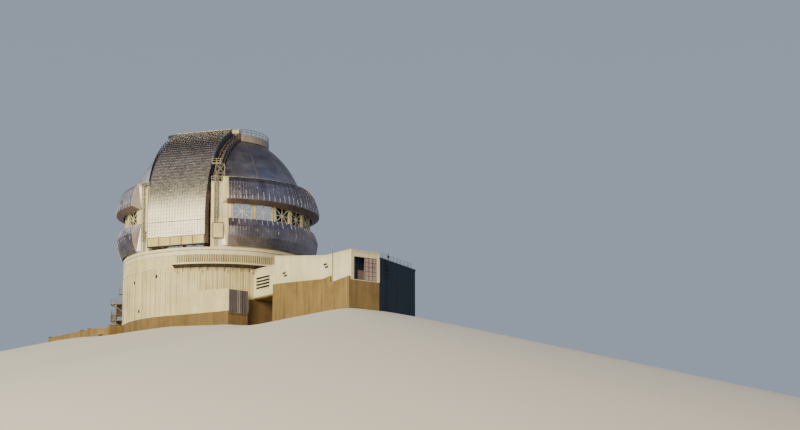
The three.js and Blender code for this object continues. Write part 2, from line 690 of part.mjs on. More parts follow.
function buildGates() {
  const t = gatePlate;
  const upperOuter = [
    [18.3, 23.9], [19.75, 24.6], [19.75, 25.2], [19.35, 26.8], [18.9, 28.1], [18.2, 29.1], [16.4, 29.4],
  ];
  const upperInner = [
    [16.4, 29.4 - t], [18, 28.85], [18.9 - t, 28], [19.35 - t, 26.75], [19.75 - t, 25.15], [19.4, 24.85],
    [18.3, 23.9 + t],
  ];
  const upperEndInner = [[16.45, 29.08], [17.2, 28.4], [gateSeat, 28.1], [gateSeat, 23.95]];
  const lowerOuter = [[18.5, 15.85], [19.25, 17.6], [19.5, 19.4], [18.9, 21.05]];
  const lowerInner = [[18.9 - t, 21.05], [19.5 - t, 19.4], [19.25 - t, 17.6], [18.3, 15.85]];
  const lowerEndInner = [[gateSeat, 21.05], [gateSeat, 15.85]];
  for (const [side, sign] of [['right', 1], ['left', -1]]) {
    const span = sideRange(sign, gateFrom, gateTo);
    const upper = gate(upperOuter, upperInner, upperEndInner, ...span);
    const lower = gate(lowerOuter, lowerInner, lowerEndInner, ...span);
    addPiece(dome, `upper_gate_${side}`, upper, paint.aluminium);
    addPiece(dome, `lower_gate_${side}`, lower, paint.aluminium);
  }
}

buildDrum();
buildFrontBlock();
buildWing();
buildYardWall();
buildStair();
buildDomeBase();
buildShell();
buildArches();
buildShutter();
buildGates();

export default building;
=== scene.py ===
# Observatory dome with its drum, support wing and side stair, as a 1:10 model in metres
import math

import bpy
import numpy as np
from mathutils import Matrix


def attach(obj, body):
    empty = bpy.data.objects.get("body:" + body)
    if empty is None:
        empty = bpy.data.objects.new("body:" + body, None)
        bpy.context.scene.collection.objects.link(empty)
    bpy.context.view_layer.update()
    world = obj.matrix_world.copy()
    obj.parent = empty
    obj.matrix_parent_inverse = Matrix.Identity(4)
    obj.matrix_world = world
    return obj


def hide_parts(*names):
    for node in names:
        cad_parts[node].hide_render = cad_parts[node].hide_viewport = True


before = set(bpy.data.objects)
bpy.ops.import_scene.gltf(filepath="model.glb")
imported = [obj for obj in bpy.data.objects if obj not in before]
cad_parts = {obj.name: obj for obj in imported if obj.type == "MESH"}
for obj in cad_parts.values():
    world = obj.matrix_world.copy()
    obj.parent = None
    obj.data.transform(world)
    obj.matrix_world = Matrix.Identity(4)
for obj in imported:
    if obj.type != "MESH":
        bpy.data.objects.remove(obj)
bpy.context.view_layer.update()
print("frame loaded:", len(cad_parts), "CAD pieces")

scale = 0.1  # model metres for one metre of the full-size building
slitTurn = math.radians(25.5)  # the slit faces this far left of the front
domeCentre = 24.15  # height of the shell's centre, in real metres like the sizes below
halves = (("right", 1), ("left", -1))  # the dome's two sides, with the sign of their azimuths

# Shapes as arrays. A part is its points and a list of face arrays, and all sizes are real metres.


# Faces of a grid of rows by columns, where either way may close on itself
def gridFaces(rows, cols, closeRows=False, closeCols=False):
    i, j = np.meshgrid(np.arange(rows if closeRows else rows - 1),
                       np.arange(cols if closeCols else cols - 1), indexing="ij")
    i, j = i.ravel(), j.ravel()
    k, l = (i + 1) % rows, (j + 1) % cols
    return np.stack([i * cols + j, i * cols + l, k * cols + l, k * cols + j], 1)


# Signed volume of a part: a sixth of the sum of corner triple products over its triangles
def partVolume(verts, faceSets):
    total = 0.0
    for faces in faceSets:
        for k in range(1, faces.shape[1] - 1):
            a, b, c = verts[faces[:, 0]], verts[faces[:, k]], verts[faces[:, k + 1]]
            total += np.einsum("ij,ij->i", a, np.cross(b, c)).sum() / 6
    return total


# Closed part, with its faces turned outwards
def outward(verts, faceSets):
    if partVolume(verts - verts.mean(0), faceSets) < 0:
        faceSets = [faces[:, ::-1] for faces in faceSets]
    return verts, faceSets


# Solid from a grid of points whose columns run round a closed section, capped at its first and last row
def sectionSolid(points, closeRows=False):
    rows, cols = points.shape[:2]
    faceSets = [gridFaces(rows, cols, closeRows, True)]
    if not closeRows:
        loop = np.arange(cols)
        faceSets += [loop[None, ::-1], (loop + (rows - 1) * cols)[None, :]]
    return outward(points.reshape(-1, 3), faceSets)


# Straight bars from starts to ends with a section of the given width and depth. Four sides give a
# square bar with its width across the reference direction, and more sides give a tube
def bars(starts, ends, width, depth=None, reference=(0, 0, 1), sides=4):
    starts, ends = np.atleast_2d(starts).astype(float), np.atleast_2d(ends).astype(float)
    depth = width if depth is None else depth
    axis = ends - starts
    axis /= np.linalg.norm(axis, axis=1, keepdims=True)
    guide = np.broadcast_to(np.asarray(reference, float), axis.shape)
    near = np.abs(np.einsum("ij,ij->i", axis, guide)) > 0.97 * np.linalg.norm(guide, axis=1)
    guide = np.where(near[:, None], np.array([1.0, 0.1, 0.0]), guide)
    side = np.cross(axis, guide)
    side /= np.linalg.norm(side, axis=1, keepdims=True)
    other = np.cross(axis, side)
    turn = (np.arange(sides) + 0.5) * 2 * np.pi / sides
    reach = 0.5 / math.cos(math.pi / sides) if sides == 4 else 0.5
    section = (side[:, None] * (np.cos(turn) * reach * width)[None, :, None]
               + other[:, None] * (np.sin(turn) * reach * depth)[None, :, None])
    verts = np.stack([starts[:, None] + section, ends[:, None] + section], 1).reshape(-1, 3)
    base = (np.arange(len(starts)) * 2 * sides)[:, None]
    k = np.arange(sides)
    quads = np.stack([k, (k + 1) % sides, (k + 1) % sides + sides, k + sides], 1)
    walls = (base[:, :, None] + quads[None]).reshape(-1, 4)
    caps = np.concatenate([base + k[::-1], base + k + sides])
    first = verts[:2 * sides]
    if partVolume(first - first.mean(0), [quads, k[None, ::-1], k[None] + sides]) < 0:
        walls, caps = walls[:, ::-1], caps[:, ::-1]
    return verts, [walls, caps]


# Box with its sides along the axes, from its lowest and highest corner
def box(low, high):
    x, y = (low[0] + high[0]) / 2, (low[1] + high[1]) / 2
    return bars([x, y, low[2]], [x, y, high[2]], high[1] - low[1], high[0] - low[0], (1, 0, 0))


# One part from several, with the faces grouped by their number of corners
def joined(parts):
    verts, faceSets, offset = [], {}, 0
    for points, sets in parts:
        verts.append(points)
        for faces in sets:
            faceSets.setdefault(faces.shape[1], []).append(faces + offset)
        offset += len(points)
    return np.concatenate(verts), [np.concatenate(group) for group in faceSets.values()]


# Part turned about the vertical through the plan's zero, then moved to an origin
def turnedPlan(part, angle, origin=(0, 0)):
    verts, faceSets = part
    c, s = math.cos(angle), math.sin(angle)
    x, y, z = verts.T
    return np.stack([origin[0] + x * c - y * s, origin[1] + x * s + y * c, z], 1), faceSets


# Points from coordinates, each of them a number or an array
def pointsAt(x, y, z):
    return np.stack(np.broadcast_arrays(x, y, z), -1)


# Plan points lifted to a height, or to a height each
def raised(plan, height):
    return np.column_stack([plan, np.broadcast_to(height, len(plan))])


# Point on a circle about the turning axis, with azimuth from the front and positive to the right
def around(radius, azimuth, height):
    radius, azimuth, height = np.broadcast_arrays(radius, azimuth, height)
    return np.stack([radius * np.sin(azimuth), -radius * np.cos(azimuth), height], -1)


# Bars at azimuths about the axis, each from one point [radius, height] to another. A radial bar has its
# depth along the radius
def axisBars(azimuths, start, end, width, depth=None, radial=False, sides=4):
    reference = around(1.0, azimuths, 0) if radial else (0, 0, 1)
    return bars(around(start[0], azimuths, start[1]), around(end[0], azimuths, end[1]), width, depth, reference,
                sides)


# Solid swept about the axis: section points [radius, height] along the columns, azimuths along the rows,
# and the radius may grow by a rib offset for each azimuth where the mask for a section point is 1
def sweptRing(section, azimuths, offsets=None, mask=None, closed=False):
    section = np.asarray(section, float)
    radius = np.repeat(section[None, :, 0], len(azimuths), 0)
    if offsets is not None:
        radius = radius + np.asarray(offsets)[:, None] * np.asarray(mask, float)[None, :]
    return sectionSolid(around(radius, np.asarray(azimuths)[:, None], section[None, :, 1]), closed)


# Positions and heights of trapezoid ribs along a length: web up, crown, web down, then the pan
def ribSteps(length, pitch, crown, web, height):
    count = max(1, int(length / pitch))
    middles = (np.arange(count) + 0.5) * length / count
    shape = np.array([-crown / 2 - web, -crown / 2, crown / 2, crown / 2 + web])
    positions = (middles[:, None] + shape[None]).ravel()
    offsets = np.tile([0, height, height, 0], count)
    return (np.concatenate([[0], positions, [length]]), np.concatenate([[0], offsets, [0]]))


# Piece from its parts, at the model's scale. Parts on the dome's bodies are worked out with the slit facing
# the front, and are turned here to where it faces
def makePiece(name, parts, material, body="building", replaces=(), smoothAngle=None):
    part = joined(parts)
    verts, faceSets = part if body == "building" else turnedPlan(part, -slitTurn)
    mesh = bpy.data.meshes.new(name)
    counts = np.concatenate([np.full(len(f), f.shape[1]) for f in faceSets])
    loops = np.concatenate([f.ravel() for f in faceSets]).astype(np.int32)
    firstLoops = np.concatenate([[0], np.cumsum(counts)[:-1]]).astype(np.int32)
    mesh.vertices.add(len(verts))
    mesh.vertices.foreach_set("co", (verts * scale).astype(np.float32).ravel())
    mesh.loops.add(len(loops))
    mesh.loops.foreach_set("vertex_index", loops)
    mesh.polygons.add(len(counts))
    mesh.polygons.foreach_set("loop_start", firstLoops)
    mesh.update(calc_edges=True)
    mesh.validate()
    if smoothAngle is None:
        mesh.shade_flat()
    else:
        mesh.shade_smooth()
        mesh.set_sharp_from_angle(angle=math.radians(smoothAngle))
    piece = bpy.data.objects.new(name, mesh)
    bpy.context.scene.collection.objects.link(piece)
    mesh.materials.append(material)
    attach(piece, body)
    if replaces:
        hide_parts(*replaces)


# Materials


def linearColour(hexColour):
    values = [int(hexColour[i:i + 2], 16) / 255 for i in (1, 3, 5)]
    return [v / 12.92 if v <= 0.04045 else ((v + 0.055) / 1.055) ** 2.4 for v in values] + [1.0]


# Adds a shader node with its settings, and sets or links its inputs
def addNode(tree, kind, settings=(), inputs=()):
    node = tree.nodes.new("ShaderNode" + kind)
    for key, value in dict(settings).items():
        setattr(node, key, value)
    for key, value in dict(inputs).items():
        if isinstance(value, bpy.types.NodeSocket):
            tree.links.new(value, node.inputs[key])
        else:
            node.inputs[key].default_value = value
    return node


def newMaterial(name):
    material = bpy.data.materials.new(name)
    material.use_nodes = True
    tree = material.node_tree
    shader = tree.nodes["Principled BSDF"]
    place = addNode(tree, "TexCoord").outputs["Object"]
    return material, tree, shader, place


# Painted steel sheet or bar: low gloss, with soft streaks some 110 mm wide down the wall where rain has
# run, and cloudy patches of half a metre
def paintedSheet(name, clean, worn, roughness, metallic=0.0):
    material, tree, shader, place = newMaterial(name)
    streakPlace = addNode(tree, "Mapping", inputs={"Vector": place, "Scale": (9, 9, 0.9)})
    streaks = addNode(tree, "TexNoise", inputs={
        "Vector": streakPlace.outputs["Vector"], "Scale": 1.0, "Detail": 5.0, "Roughness": 0.6})
    patches = addNode(tree, "TexNoise", inputs={"Vector": place, "Scale": 2.2, "Detail": 3.0})
    shade = addNode(tree, "Math", {"operation": "ADD"}, {
        0: streaks.outputs["Fac"], 1: patches.outputs["Fac"]})
    tone = addNode(tree, "MapRange", inputs={
        "Value": shade.outputs[0], "From Min": 0.75, "From Max": 1.3, "To Min": 0.0, "To Max": 1.0})
    mixed = addNode(tree, "Mix", {"data_type": "RGBA"}, {
        "Factor": tone.outputs[0], 6: linearColour(worn), 7: linearColour(clean)})
    tree.links.new(mixed.outputs[2], shader.inputs["Base Color"])
    gloss = addNode(tree, "MapRange", inputs={
        "Value": patches.outputs["Fac"], "To Min": roughness - 0.08, "To Max": roughness + 0.1})
    tree.links.new(gloss.outputs[0], shader.inputs["Roughness"])
    ripple = addNode(tree, "Bump", inputs={
        "Height": streaks.outputs["Fac"], "Strength": 0.15, "Distance": 0.004})
    tree.links.new(ripple.outputs[0], shader.inputs["Normal"])
    shader.inputs["Metallic"].default_value = metallic
    shader.inputs["IOR"].default_value = 1.5
    return material


# Mill-finish aluminium panels: bright metal dulled by weather, each panel a little lighter or darker, with
# shallow dents of 70 mm
def aluminiumPanels(name, settings):
    material, tree, shader, place = newMaterial(name)
    spread = addNode(tree, "Mapping", inputs={"Vector": place, "Scale": settings["grain"]})
    grain = addNode(tree, "TexNoise", inputs={
        "Vector": spread.outputs["Vector"], "Scale": 1.0, "Detail": 6.0, "Roughness": 0.65})
    cells = addNode(tree, "TexVoronoi", {"distance": "CHEBYCHEV"}, {
        "Vector": place, "Scale": settings["panelsPerMetre"], "Randomness": 0.35})
    panel = addNode(tree, "SeparateColor", inputs={"Color": cells.outputs["Color"]})
    blend = addNode(tree, "Math", {"operation": "MULTIPLY_ADD"}, {
        0: panel.outputs[0], 1: settings["panelShare"], 2: grain.outputs["Fac"]})
    tone = addNode(tree, "MapRange", inputs={
        "Value": blend.outputs[0], "From Min": 0.35, "From Max": 0.65 + settings["panelShare"]})
    mixed = addNode(tree, "Mix", {"data_type": "RGBA"}, {
        "Factor": tone.outputs[0], 6: linearColour(settings["dull"]), 7: linearColour(settings["bright"])})
    colour = mixed.outputs[2]
    # Painted shade: each darkening comes in over its range of heights, from the first to the second
    for (start, end), shade in settings.get("shadeByHeight", ()):
        height = addNode(tree, "SeparateXYZ", inputs={"Vector": place})
        rise = addNode(tree, "MapRange", {"interpolation_type": "SMOOTHSTEP"}, {
            "Value": height.outputs["Z"], "From Min": start, "From Max": end})
        dimmed = addNode(tree, "Mix", {"data_type": "RGBA", "blend_type": "MULTIPLY"}, {
            "Factor": rise.outputs[0], 6: colour, 7: linearColour(shade)})
        colour = dimmed.outputs[2]
    tree.links.new(colour, shader.inputs["Base Color"])
    gloss = addNode(tree, "MapRange", inputs={
        "Value": grain.outputs["Fac"], "From Min": 0.3, "From Max": 0.7,
        "To Min": settings["roughness"] - 0.06, "To Max": settings["roughness"] + 0.1})
    tree.links.new(gloss.outputs[0], shader.inputs["Roughness"])
    dents = addNode(tree, "TexNoise", inputs={"Vector": place, "Scale": 14.0, "Detail": 2.0})
    oilCan = addNode(tree, "Bump", inputs={
        "Height": dents.outputs["Fac"], "Strength": settings["dents"], "Distance": 0.004})
    tree.links.new(oilCan.outputs[0], shader.inputs["Normal"])
    shader.inputs["Metallic"].default_value = 1.0
    return material


# Fair-faced concrete: matt, with 6 mm pores, cloudy stains, streaks and the marks of form boards every 120 mm
def fairFacedConcrete(name, clean, stained):
    material, tree, shader, place = newMaterial(name)
    clouds = addNode(tree, "TexNoise", inputs={
        "Vector": place, "Scale": 3.0, "Detail": 8.0, "Roughness": 0.6})
    streakPlace = addNode(tree, "Mapping", inputs={"Vector": place, "Scale": (14, 14, 1.2)})
    streaks = addNode(tree, "TexNoise", inputs={
        "Vector": streakPlace.outputs["Vector"], "Scale": 1.0, "Detail": 4.0})
    shade = addNode(tree, "Math", {"operation": "ADD"}, {
        0: clouds.outputs["Fac"], 1: streaks.outputs["Fac"]})
    tone = addNode(tree, "MapRange", inputs={
        "Value": shade.outputs[0], "From Min": 0.7, "From Max": 1.3})
    mixed = addNode(tree, "Mix", {"data_type": "RGBA"}, {
        "Factor": tone.outputs[0], 6: linearColour(stained), 7: linearColour(clean)})
    tree.links.new(mixed.outputs[2], shader.inputs["Base Color"])
    pores = addNode(tree, "TexNoise", inputs={"Vector": place, "Scale": 160.0, "Detail": 2.0})
    boards = addNode(tree, "TexWave", {"bands_direction": "Z"}, {
        "Vector": place, "Scale": 2.6, "Distortion": 0.3})
    relief = addNode(tree, "Math", {"operation": "MULTIPLY_ADD"}, {
        0: boards.outputs["Fac"], 1: 0.4, 2: pores.outputs["Fac"]})
    bump = addNode(tree, "Bump", inputs={
        "Height": relief.outputs[0], "Strength": 0.35, "Distance": 0.003})
    tree.links.new(bump.outputs[0], shader.inputs["Normal"])
    shader.inputs["Roughness"].default_value = 0.88
    return material


# Painted finishes, each with its clean colour, its worn colour and its roughness
creamSheet = paintedSheet("creamPaintedSheet", "#e2d6a8", "#c0b384", 0.5)  # warm chalky walls
whiteSheet = paintedSheet("whitePaintedSheet", "#ebe2c0", "#cfc5a0", 0.48)  # paler trim and wing
darkRailPaint = paintedSheet("darkRailPaint", "#3a4450", "#20262e", 0.5)  # slate rails on the sky
flangeShadePaint = paintedSheet("shadedSlateFlange", "#45525c", "#2b343d", 0.5)  # painted shade: slate edge of the shutter in shadow
kerbShadePaint = paintedSheet("shadedStoneKerb", "#b9ad94", "#8c8271", 0.5)  # painted shade: grey kerbs at the crown in shadow
stripSheet = paintedSheet("strawPaintedSheet", "#dacc88", "#b7a25a", 0.5)  # yellow foot of the shutter
gateSoffitShade = paintedSheet("shadedUmberSoffit", "#877067", "#594c4a", 0.6)  # painted shade and reflected ground, brown under the gates
canopySoffitShade = paintedSheet("shadedDarkSoffit", "#54443e", "#332b2a", 0.6)  # painted shade, darker under the canopy
doorSheet = paintedSheet("greyRollerSteel", "#625c60", "#3d383c", 0.45)  # satin roller curtain
bandSheet = paintedSheet("paleRollerSteel", "#8d868c", "#655f66", 0.4)  # its paler upright band
pinkDoorSheet = paintedSheet("mauveDoorSheet", "#c6b0a8", "#9a8784", 0.45)  # faded mauve door leaf
annexShadeSheet = paintedSheet("annexShadeSheet", "#152a3c", "#0c1925", 0.5)  # painted shade: annex walls nearly black in shadow
stairPaint = paintedSheet("stoneStairPaint", "#8f877a", "#655f57", 0.55)  # dull stair against the wall
screenSheet = paintedSheet("navyScreenSheet", "#3a4c66", "#243348", 0.4)  # navy behind the doorway
shadeDarkPaint = paintedSheet("paintedShadeLining", "#23262b", "#121417", 0.8)  # painted shade: depth seen through gaps and slots, and the dark pole
girderSteel = paintedSheet("brownGirderPaint", "#86705f", "#54463d", 0.55)  # rust-brown steelwork
girderWebShade = paintedSheet("shadedGirderWeb", "#5b4a3e", "#3c322c", 0.6)  # painted shade between its lacing
cheekShadeSheet = paintedSheet("shadedUmberCheek", "#8d7a74", "#66585a", 0.5)  # painted shade: brown returns of the shutter
jointSheet = paintedSheet("shadedJointSheet", "#a89c7e", "#8a7e62", 0.6)  # shade in the drum's joints
slotShade = paintedSheet("shadedSlotSheet", "#9c8c72", "#7b6c56", 0.7)  # shade between the fins
glintClipPaint = paintedSheet("paintedGlintClips", "#d6d2d8", "#a5a0aa", 0.4)  # painted highlights: glints on the gates' clips
shadedEndPaint = paintedSheet("shadedGreyEnds", "#aca19c", "#8d8380", 0.45)  # painted shade: grey ends of the left gates
foldGlintPaint = paintedSheet("paintedGlintFold", "#ffffff", "#f4f1e6", 0.35)  # painted highlight: white sun glints on the folds
ladderPaint = paintedSheet("dullLadderPaint", "#8f8878", "#5c574d", 0.5)  # dull ladders
towerPaint = paintedSheet("greyTowerPaint", "#8b8178", "#5d5650", 0.5)  # grey braced tower
galvanised = paintedSheet("galvanisedSteel", "#a7a9a6", "#74767a", 0.45, 0.8)  # soft grey metal
stripMetal = paintedSheet("paleCoverStrip", "#8d8593", "#6c6674", 0.4, 0.6)  # violet-grey cover strips
tanConcrete = fairFacedConcrete("tanConcrete", "#937b4a", "#715b37")
# The plinths take a darker copy of the tan concrete
plinthConcrete = fairFacedConcrete("darkerTanConcrete", "#877047", "#665233")
greyConcrete = fairFacedConcrete("floorConcrete", "#9c978c", "#76726a")
shellPanels = aluminiumPanels("weatheredShellPanels", {
    "bright": "#b4acac", "dull": "#8c8486", "roughness": 0.45, "grain": (3, 3, 6), "panelsPerMetre": 1.6,
    "panelShare": 0.25, "dents": 0.2})
# The shutter's sheets are darkened by height as painted shade: over the face and the low arc, and darker and
# bluer near the top, where they mirror the dark sky
shutterPanels = aluminiumPanels("shutterPanels", {
    "bright": "#d8cbc0", "dull": "#aa9d94", "roughness": 0.36, "grain": (12, 12, 40), "panelsPerMetre": 4.0,
    "panelShare": 0.12, "dents": 0.05, "shadeByHeight": [((3.15, 2.6), "#d4d4d4"), ((3.2, 3.8), "#a5a2a8")]})
gatePanels = aluminiumPanels("gatePanels", {
    "bright": "#a69c9f", "dull": "#776f73", "roughness": 0.42, "grain": (4, 4, 9), "panelsPerMetre": 1.9,
    "panelShare": 0.25, "dents": 0.15})
print("materials made")

# CAD nodes that keep their shape take the finish of the first name that theirs starts with
# The flange, kerb, louvre and annex finishes below carry painted shade onto these nodes
nodeFinish = {
    "drum_plinth": plinthConcrete, "front_block_plinth": plinthConcrete, "wing_base": tanConcrete,
    "yard_wall": tanConcrete, "drum_floor": greyConcrete, "wing_floor": tanConcrete,
    "drum_band": whiteSheet, "ring_beam": whiteSheet, "front_pier": whiteSheet,
    "crown_platform": kerbShadePaint, "shell_": shellPanels, "rear_shell": shellPanels,
    "shutter_flange": flangeShadePaint, "shutter_bottom": stripSheet, "dome_rail": girderSteel,
    "louvre": shadeDarkPaint, "roller_door": doorSheet, "wing_door": pinkDoorSheet, "annex": annexShadeSheet,
    "stair": stairPaint, "mast": galvanised, "wing_": whiteSheet, "link_roof": whiteSheet,
}
for nodeName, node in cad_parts.items():
    finish = next((m for key, m in nodeFinish.items() if nodeName.startswith(key)), creamSheet)
    node.data.materials.clear()
    node.data.materials.append(finish)


# Handrail along a path: posts at even spacing, and rails that follow the path at set heights
def railing(path, form):
    path = np.asarray(path, float)
    reach = np.concatenate([[0], np.cumsum(np.linalg.norm(np.diff(path, axis=0), axis=1))])
    at = np.linspace(0, reach[-1], max(2, int(round(reach[-1] / form["spacing"])) + 1))
    feet = np.stack([np.interp(at, reach, path[:, k]) for k in range(3)], 1)
    parts = [bars(feet, feet + (0, 0, form["height"]), form["post"], sides=6)]
    for rise in form["levels"]:
        parts.append(bars(path[:-1] + (0, 0, rise), path[1:] + (0, 0, rise), form["rail"], sides=6))
    return joined(parts)


wallRibs = {"pitch": 0.5, "crown": 0.09, "web": 0.05, "rib": 0.045, "skin": 0.012, "depth": 0.04}


# Profiled sheet on a straight wall. At each point along the wall the section runs from a bottom to a
# top line, and its face stands out by the sheet's thickness plus the rib's height there
def ribbedPanel(start, end, bottoms, tops, form=wallRibs, face=0.0):
    along, proud = ribSteps(end - start, form["pitch"], form["crown"], form["web"], form["rib"])
    along = along + start
    low, high = np.interp(along, *bottoms), np.interp(along, *tops)
    front, back = -face - form["skin"] - proud, form["depth"] - face
    return sectionSolid(np.stack([pointsAt(along, back, low), pointsAt(along, front, low),
                                  pointsAt(along, front, high), pointsAt(along, back, high)], 1))


# Level line at a height, for the bottom or top of a ribbed panel
def level(height):
    return [0, 100], [height, height]


# Places a straight wall's part on the plan line from one point to another, with its face to the right
def onLine(part, start, end):
    return turnedPlan(part, math.atan2(end[1] - start[1], end[0] - start[0]), start)


# Ribbed sheet round the drum, in a lower and an upper tier with a drip flashing between them
drumSheet = {
    "radius": 18.1, "foot": 2.76, "drip": 11.8, "lap": 0.1, "head": 14.06, "proud": 0.01, "setback": 0.06,
    "depth": 0.1, "turns": 144, "dripFlashing": [[18.0, 11.76], [18.2, 11.76], [18.2, 11.82], [18.0, 12.0]],
    "footFlashing": [[18.05, 2.7], [18.22, 2.7], [18.2, 2.78], [18.05, 2.86]],
    "joint": {"pitch": 3.75, "shift": 0.4, "beat": 1.7, "out": 0.045, "width": 0.07, "depth": 0.03},
    "window": {"places": [(-59.6, 9.96), (-54.0, 4.27), (-39.0, 10.43)], "half": 0.3, "out": 0.03,
               "width": 0.4, "depth": 0.1}}


# The face's radius is the wall's, plus the rib's height where the azimuth falls on a rib
def makeDrumSheet(form):
    radius, foot, drip = form["radius"], form["foot"], form["drip"]
    turn, proud = ribSteps(2 * math.pi, *(wallRibs[k] / radius for k in ("pitch", "crown", "web")),
                           wallRibs["rib"])
    tiers = {"drumSheetLower": (foot, drip, radius + form["proud"]),
             "drumSheetUpper": (drip + form["lap"], form["head"], radius - form["setback"])}
    for name, (low, high, face) in tiers.items():
        back = face - form["depth"]
        ring = sweptRing([[back, low], [face, low], [face, high], [back, high]], turn[:-1], proud[:-1],
                         [0, 1, 1, 0], True)
        makePiece(name, [ring], creamSheet)
    spokes = np.linspace(0, 2 * math.pi, form["turns"] + 1)[:-1]
    edges = [sweptRing(form[k], spokes, closed=True) for k in ("dripFlashing", "footFlashing")]
    makePiece("drumFlashings", edges, whiteSheet, smoothAngle=30)
    # Darker joints between the sheets' stacks, unevenly spaced as on the real wall
    joint = form["joint"]
    even = np.arange(0, 360, joint["pitch"])
    at = np.radians(even + joint["pitch"] * joint["shift"] * np.sin(even * joint["beat"]))
    out = radius + joint["out"]
    joints = axisBars(at, (out, foot), (out, drip), joint["width"], joint["depth"], True)
    makePiece("drumJoints", [joints], jointSheet)
    window = form["window"]
    at, middle = np.array(window["places"]).T
    out, half = radius + window["out"], window["half"]
    panes = axisBars(np.radians(at), (out, middle - half), (out, middle + half), window["width"],
                     window["depth"], True)
    makePiece("drumWindows", [panes], shadeDarkPaint)


makeDrumSheet(drumSheet)

# Fins in front of a slot painted dark as shade over the canopy, and the canopy's own soffit, painted darker
# still as shade, with its arms, trim and lamps. The arms run from one point [radius, height] to another, with a
# width and a depth
canopy = {
    "from": -25.5, "to": 33.8, "wall": 18.1, "slot": (12.32, 14.04), "slotFace": (18.0, 18.09),
    "fin": {"pitch": 0.44, "radius": 18.14, "width": 0.17, "depth": 0.1}, "spans": 24, "bays": 12,
    "seam": (18.15, 19.8, 0.08, 0.05),
    "soffit": [[18.13, 11.64], [19.77, 12.03], [19.77, 12.11], [18.13, 11.72]],
    "trim": [[19.78, 12.04], [19.85, 12.04], [19.85, 12.34], [19.78, 12.34]],
    "arms": [((18.12, 11.62), (19.72, 11.98), 0.1, 0.14), ((18.14, 10.95), (19.2, 11.84), 0.07, 0.07)],
    "lamps": [-24.3, -9.4, 5.4, 20.3], "stem": ((18.12, 11.1), (18.62, 11.1), 0.06),
    "hood": ((18.6, 10.7), (18.6, 11.2), 0.3)}


def makeCanopy(form):
    low, high = math.radians(form["from"]), math.radians(form["to"])
    foot, head = form["slot"]
    fin = form["fin"]
    step = fin["pitch"] / form["wall"]
    fins = axisBars(np.arange(low + step / 2, high, step), (fin["radius"], foot), (fin["radius"], head),
                    fin["width"], fin["depth"], True)
    makePiece("canopyFins", [fins], creamSheet)
    span = np.linspace(low, high, form["spans"] + 1)
    back, face = form["slotFace"]
    slot = sweptRing([[back, foot], [face, foot], [face, head], [back, head]], span)
    makePiece("canopySlot", [slot], slotShade)
    makePiece("canopySoffitShade", [sweptRing(form["soffit"], span)], canopySoffitShade)
    joints = np.linspace(low, high, form["bays"] + 1)
    near, far, width, depth = form["seam"]
    seams = axisBars(joints, (near, foot), (far, foot), width, depth)
    makePiece("canopyTrim", [sweptRing(form["trim"], span), seams], whiteSheet)
    makePiece("canopyArms", [axisBars(joints, *arm) for arm in form["arms"]], girderSteel)
    lamp = np.radians(form["lamps"])
    stems, hoods = axisBars(lamp, *form["stem"], sides=6), axisBars(lamp, *form["hood"], sides=10)
    makePiece("canopyLamps", [stems, hoods], whiteSheet)


makeCanopy(canopy)
print("drum dressed")

# Low block: ribbed sheet on its walls, edge flashings, and the roller door's curtain
blockForm = {
    "plan": [[-7.46, -16.4], [2.13, -22.5], [5.76, -20.1], [4.2, -17.7]], "foot": 2.74, "top": 6.82,
    "door": (0.4, 4.0), "head": 6.4, "edge": (0.18, 0.12), "post": (6.8, 0.14),
    "curtain": (0.12, 4.22, 2.3, 6.72), "band": (1.9, 2.7), "proud": 0.1, "frame": (0.02, 0.06),
    "sill": (0.2, 0.16), "ribs": {**wallRibs, "pitch": 0.4, "crown": 0.12, "web": 0.06, "rib": 0.05}}


def makeBlock(form):
    plan = np.array(form["plan"])
    lengths = np.linalg.norm(np.diff(plan, axis=0), axis=1)
    foot, top = level(form["foot"]), level(form["top"])
    low, high = form["door"]
    panels = [(0, 0, lengths[0], foot), (1, 0, low, foot), (1, low, high, level(form["head"])),
              (1, high, lengths[1], foot), (2, 0, lengths[2], foot)]
    sheets = [onLine(ribbedPanel(a, b, bottom, top), plan[k], plan[k + 1]) for k, a, b, bottom in panels]
    makePiece("blockSheets", sheets, creamSheet)
    corners = raised(plan, form["top"])
    postTop, post = form["post"]
    trim = [bars(corners[:-1], corners[1:], *form["edge"]),
            bars(raised(plan[1:], form["foot"]), raised(plan[1:], postTop), post)]
    makePiece("blockTrim", trim, whiteSheet)
    low, high, sill, head = form["curtain"]
    panels = [onLine(ribbedPanel(a, b, level(sill), level(head), form["ribs"], form["proud"]), plan[1], plan[2])
              for a, b in ((low, form["band"][0]), (form["band"][1], high), form["band"])]
    makePiece("rollerCurtain", panels[:2], doorSheet)
    makePiece("rollerBand", panels[2:], bandSheet)
    out = -form["proud"] - form["frame"][0]
    rails = bars([[low, out, sill], [high, out, sill], [low, out, head]],
                 [[low, out, head], [high, out, head], [high, out, head]], form["frame"][1])
    edge = bars([low, out, sill], [high, out, sill], *form["sill"])
    makePiece("rollerFrame", [onLine(p, plan[1], plan[2]) for p in (rails, edge)], girderSteel)


makeBlock(blockForm)

